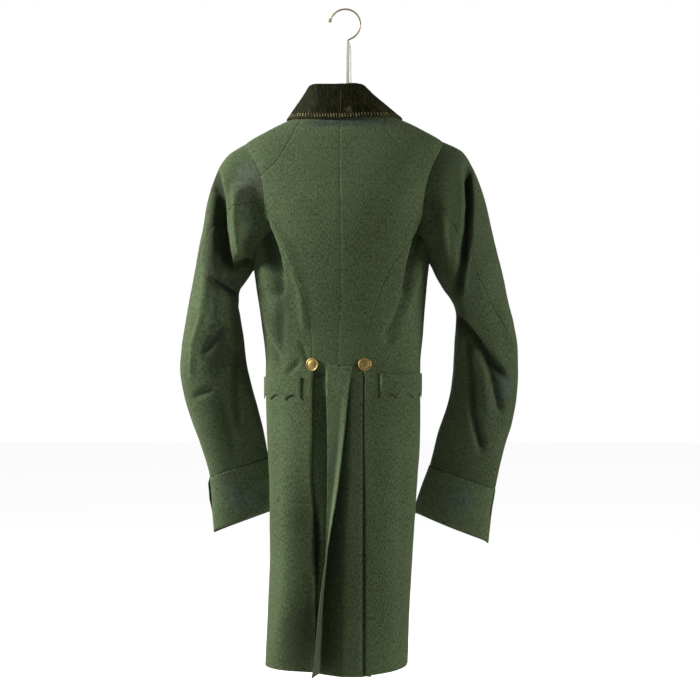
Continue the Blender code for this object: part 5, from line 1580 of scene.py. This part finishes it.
def make_velvet():
    looks = {"Sheen_Weight": 0.04, "Sheen_Roughness": 0.35, "Sheen_Tint": VELVET_SHEEN}
    material, tree, shader, place = start_finish(
        "collar_velvet", Roughness=0.85, Specular_IOR_Level=0.05, **looks
    )
    pattern = add(tree, "ShaderNodeUVMap", uv_map="Cloth").outputs[0]
    worn = attribute(tree, "worn")
    pile = effect(tree, "nap", place, Pattern=pattern, Fibres=1100.0, Threads=1.6)
    slow = effect(tree, "mottle", place, Scale=30.0)[0]
    shade = ranged(tree, pile["Shade"], 0.35, 0.65)
    colour = mixed(tree, weighed(tree, (shade, 0.6), (slow, 0.4)), VELVET_DEEP, VELVET_LIT)
    rows = noisy(tree, stretched(tree, pattern, (70, 640, 1)), 1.0, 3, 0.7)
    colour = mixed(tree, ranged(tree, rows, 0.48, 0.68, 0, 0.7), colour, VELVET_RUBBED)
    colour = stains_and_painted_light(tree, place, COLLAR_STAINS, colour)
    rubbed = effect(tree, "wear", place, Edge=worn, Width=2.8 * MM, Break=420.0)[0]
    colour = mixed(tree, times(tree, rubbed, 0.5), colour, VELVET_WORN)
    colour = mixed(tree, stitches(tree, pattern, worn, place), colour, STITCH)
    tree.links.new(colour, shader.inputs["Base Color"])
    raise_surface(tree, shader, pile["Height"], 0.4, 0.4 * MM)
    return material


def make_metal(name, colour, dark, roughness, scale=160.0, metallic=1.0):
    material, tree, shader, place = start_finish(name, Metallic=metallic)
    tarnish = effect(tree, "mottle", place, Scale=scale)[0]
    tree.links.new(mixed(tree, tarnish, (*colour, 1), (*dark, 1)), shader.inputs["Base Color"])
    tree.links.new(ranged(tree, tarnish, 0, 1, roughness, roughness + 0.18), shader.inputs["Roughness"])
    return material


def make_wood():
    material, tree, shader, place = start_finish("pale_wood", Roughness=0.45)
    grain = noisy(tree, stretched(tree, place, (4, 60, 60)), 3.0, 6, 0.6)
    colour = mixed(tree, ranged(tree, grain, 0.35, 0.65), (0.36, 0.24, 0.13, 1), (0.58, 0.43, 0.27, 1))
    tree.links.new(colour, shader.inputs["Base Color"])
    raise_surface(tree, shader, grain, 0.2, 0.3 * MM)
    return material


# ---------------------------------------------------------------- hard pieces
CRISP_EDGE = 35 * DEGREE
MERGE_DISTANCE = 0.00005


def nothing_selected():
    bpy.ops.object.select_all(action="DESELECT")


def turned_piece(name, rows, steps, material):
    """A round closed piece raised from a circle: rows of (radius, height) from its bottom up."""
    nothing_selected()
    radius, height = rows[0]
    place = (0, 0, height)
    bpy.ops.mesh.primitive_circle_add(vertices=steps, radius=radius, fill_type="NGON", location=place)
    piece = bpy.context.object
    bpy.ops.object.transform_apply()
    bpy.ops.object.mode_set(mode="EDIT")
    bpy.ops.mesh.select_all(action="SELECT")
    for (low_radius, low), (top_radius, top) in zip(rows, rows[1:]):
        bpy.ops.mesh.extrude_region_move(TRANSFORM_OT_translate={"value": (0, 0, top - low)})
        share = top_radius / low_radius
        bpy.ops.transform.resize(value=(share, share, 1), center_override=(0, 0, top))
    bpy.ops.mesh.select_all(action="SELECT")
    bpy.ops.mesh.normals_make_consistent()
    bpy.ops.object.mode_set(mode="OBJECT")
    bpy.ops.object.shade_smooth_by_angle(angle=CRISP_EDGE)
    piece.name = name
    piece.data.materials.append(material)
    return piece


WAIST_BUTTON = 22.6 * MM
BUTTON_SIDES = 48
BUTTON = table(
    "share height",
    (0.20, 0.0),
    (0.20, 0.8),
    (0.84, 0.9),
    (0.95, 1.0),
    (1.00, 1.3),
    (1.00, 1.9),
    (0.98, 2.3),
    (0.93, 2.65),
    (0.88, 2.65),
    (0.84, 2.35),
    (0.80, 2.15),
    (0.70, 2.15),
    (0.64, 2.3),
    (0.58, 2.6),
    (0.46, 2.95),
    (0.34, 3.2),
    (0.20, 3.35),
    (0.06, 3.4),
)


def sew_button(word, side, gilt):
    """A waist button at the top of the pleat."""
    rows = [(row.share * WAIST_BUTTON / 2, row.height * MM) for row in BUTTON]
    button = turned_piece(f"gilt_button_{word}", rows, BUTTON_SIDES, gilt)
    u = float(pleat_line(side, WAIST))
    here, normal = normals_of(wrapped, np.array([u]), np.array([WAIST]), -1)
    lift = Vector(normal[0]) * BUTTON_GAP
    turn = Vector(normal[0]).to_track_quat("Z", "Y").to_matrix().to_4x4()
    place = Matrix.Translation(Vector(here[0]) + lift + Vector((COAT_OFF_HOOK, 0, -HOOK_TO_NAPE)))
    button.data.transform(place @ turn)
    dress(button, "gilt", f"waist_button_{word}")


def smooth_copy(node, name, levels, material, slot):
    """A finer copy of a solid, rounded by subdivision, which takes its place."""
    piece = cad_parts[node].copy()
    piece.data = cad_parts[node].data.copy()
    for key in list(piece.keys()):
        if key.startswith("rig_"):
            del piece[key]
    piece.name = name
    piece.parent = None
    bpy.context.scene.collection.objects.link(piece)
    nothing_selected()
    bpy.context.view_layer.objects.active = piece
    piece.select_set(True)
    bpy.ops.object.mode_set(mode="EDIT")
    bpy.ops.mesh.select_all(action="SELECT")
    bpy.ops.mesh.remove_doubles(threshold=MERGE_DISTANCE)
    bpy.ops.mesh.tris_convert_to_quads()
    bpy.ops.object.mode_set(mode="OBJECT")
    finer = piece.modifiers.new("finer", "SUBSURF")
    finer.levels = finer.render_levels = levels
    bpy.ops.object.modifier_apply(modifier=finer.name)
    bpy.ops.object.shade_smooth()
    piece.data.materials.clear()
    piece.data.materials.append(material)
    dress(piece, slot, node)


def make_coat():
    for make_group in (make_nap_group, make_wear_group, make_mottle_group, make_soft_patch_group):
        make_group()
    wool = make_wool("green_wool", 1.0)
    # The sleeves' shares are painted light and shade: the left a little paler, the right darker as on the
    # shaded side; the cuffs are paler for their worn nap
    left_wool = make_wool("green_left_sleeve_wool", 1.06)
    right_wool = make_wool("green_right_sleeve_wool", 0.86)
    cuff_wool = make_wool("green_cuff_wool", 1.27)
    velvet, wood = make_velvet(), make_wood()
    gilt = make_metal("gilt_brass", (0.58, 0.40, 0.15), (0.36, 0.24, 0.09), 0.38)
    wire = make_metal("brass_wire", (0.50, 0.40, 0.20), (0.36, 0.29, 0.15), 0.42, 40.0, 0.7)
    # The shank's near-white colour is partly painted highlight: it stands in for the bright reflection
    # along the tube
    tube = make_metal("pale_tube_painted_highlight", (0.93, 0.90, 0.80), (0.88, 0.84, 0.72), 0.3, 40.0, 0.15)
    for side, word in ((1, "left"), (-1, "right")):
        forepart, back = forepart_cloth(side), back_cloth(side)
        cloth = {"material": wool, "slot": "wool"}
        sizes = {"mesh": BACK_MESH, "lines": back_lines(side)}
        panel(f"cloth_back_{word}", back_outline(side), back, -side, **cloth, **sizes)
        sizes = {"lines": pleat_lines(side)}
        panel(f"cloth_forepart_{word}", forepart_outline(side), forepart, -1, **cloth, **sizes)
        sizes = {"lift": LAID_ON, "spring": LAPEL_SPRING}
        panel(f"cloth_lapel_{word}", lapel_outline(side), wrapped, -1, **cloth, **sizes)
        sizes = {"lift": LAID_ON, "mesh": FLAP_MESH}
        panel(f"cloth_flap_{word}", flap_outline(side), wrapped, -1, **cloth, **sizes)
        sew_button(word, side, gilt)
    make_sleeve("left", 1, LEFT_SLEEVE, LEFT_SLEEVE_FOLDS, left_wool, cuff_wool)
    make_sleeve("right", -1, RIGHT_SLEEVE, RIGHT_SLEEVE_FOLDS, right_wool, cuff_wool)
    make_collar(velvet)
    smooth_copy("hanger_bar", "wooden_bar", 2, wood, "wood")
    smooth_copy("hanger_shank", "turned_shank", 1, tube, "hanger_metal")
    smooth_copy("hanger_hook", "wire_hook", 1, wire, "hanger_metal")
    smooth_copy("hanger_tip", "hook_ball", 1, wire, "hanger_metal")


set_studio()
set_camera()
make_coat()
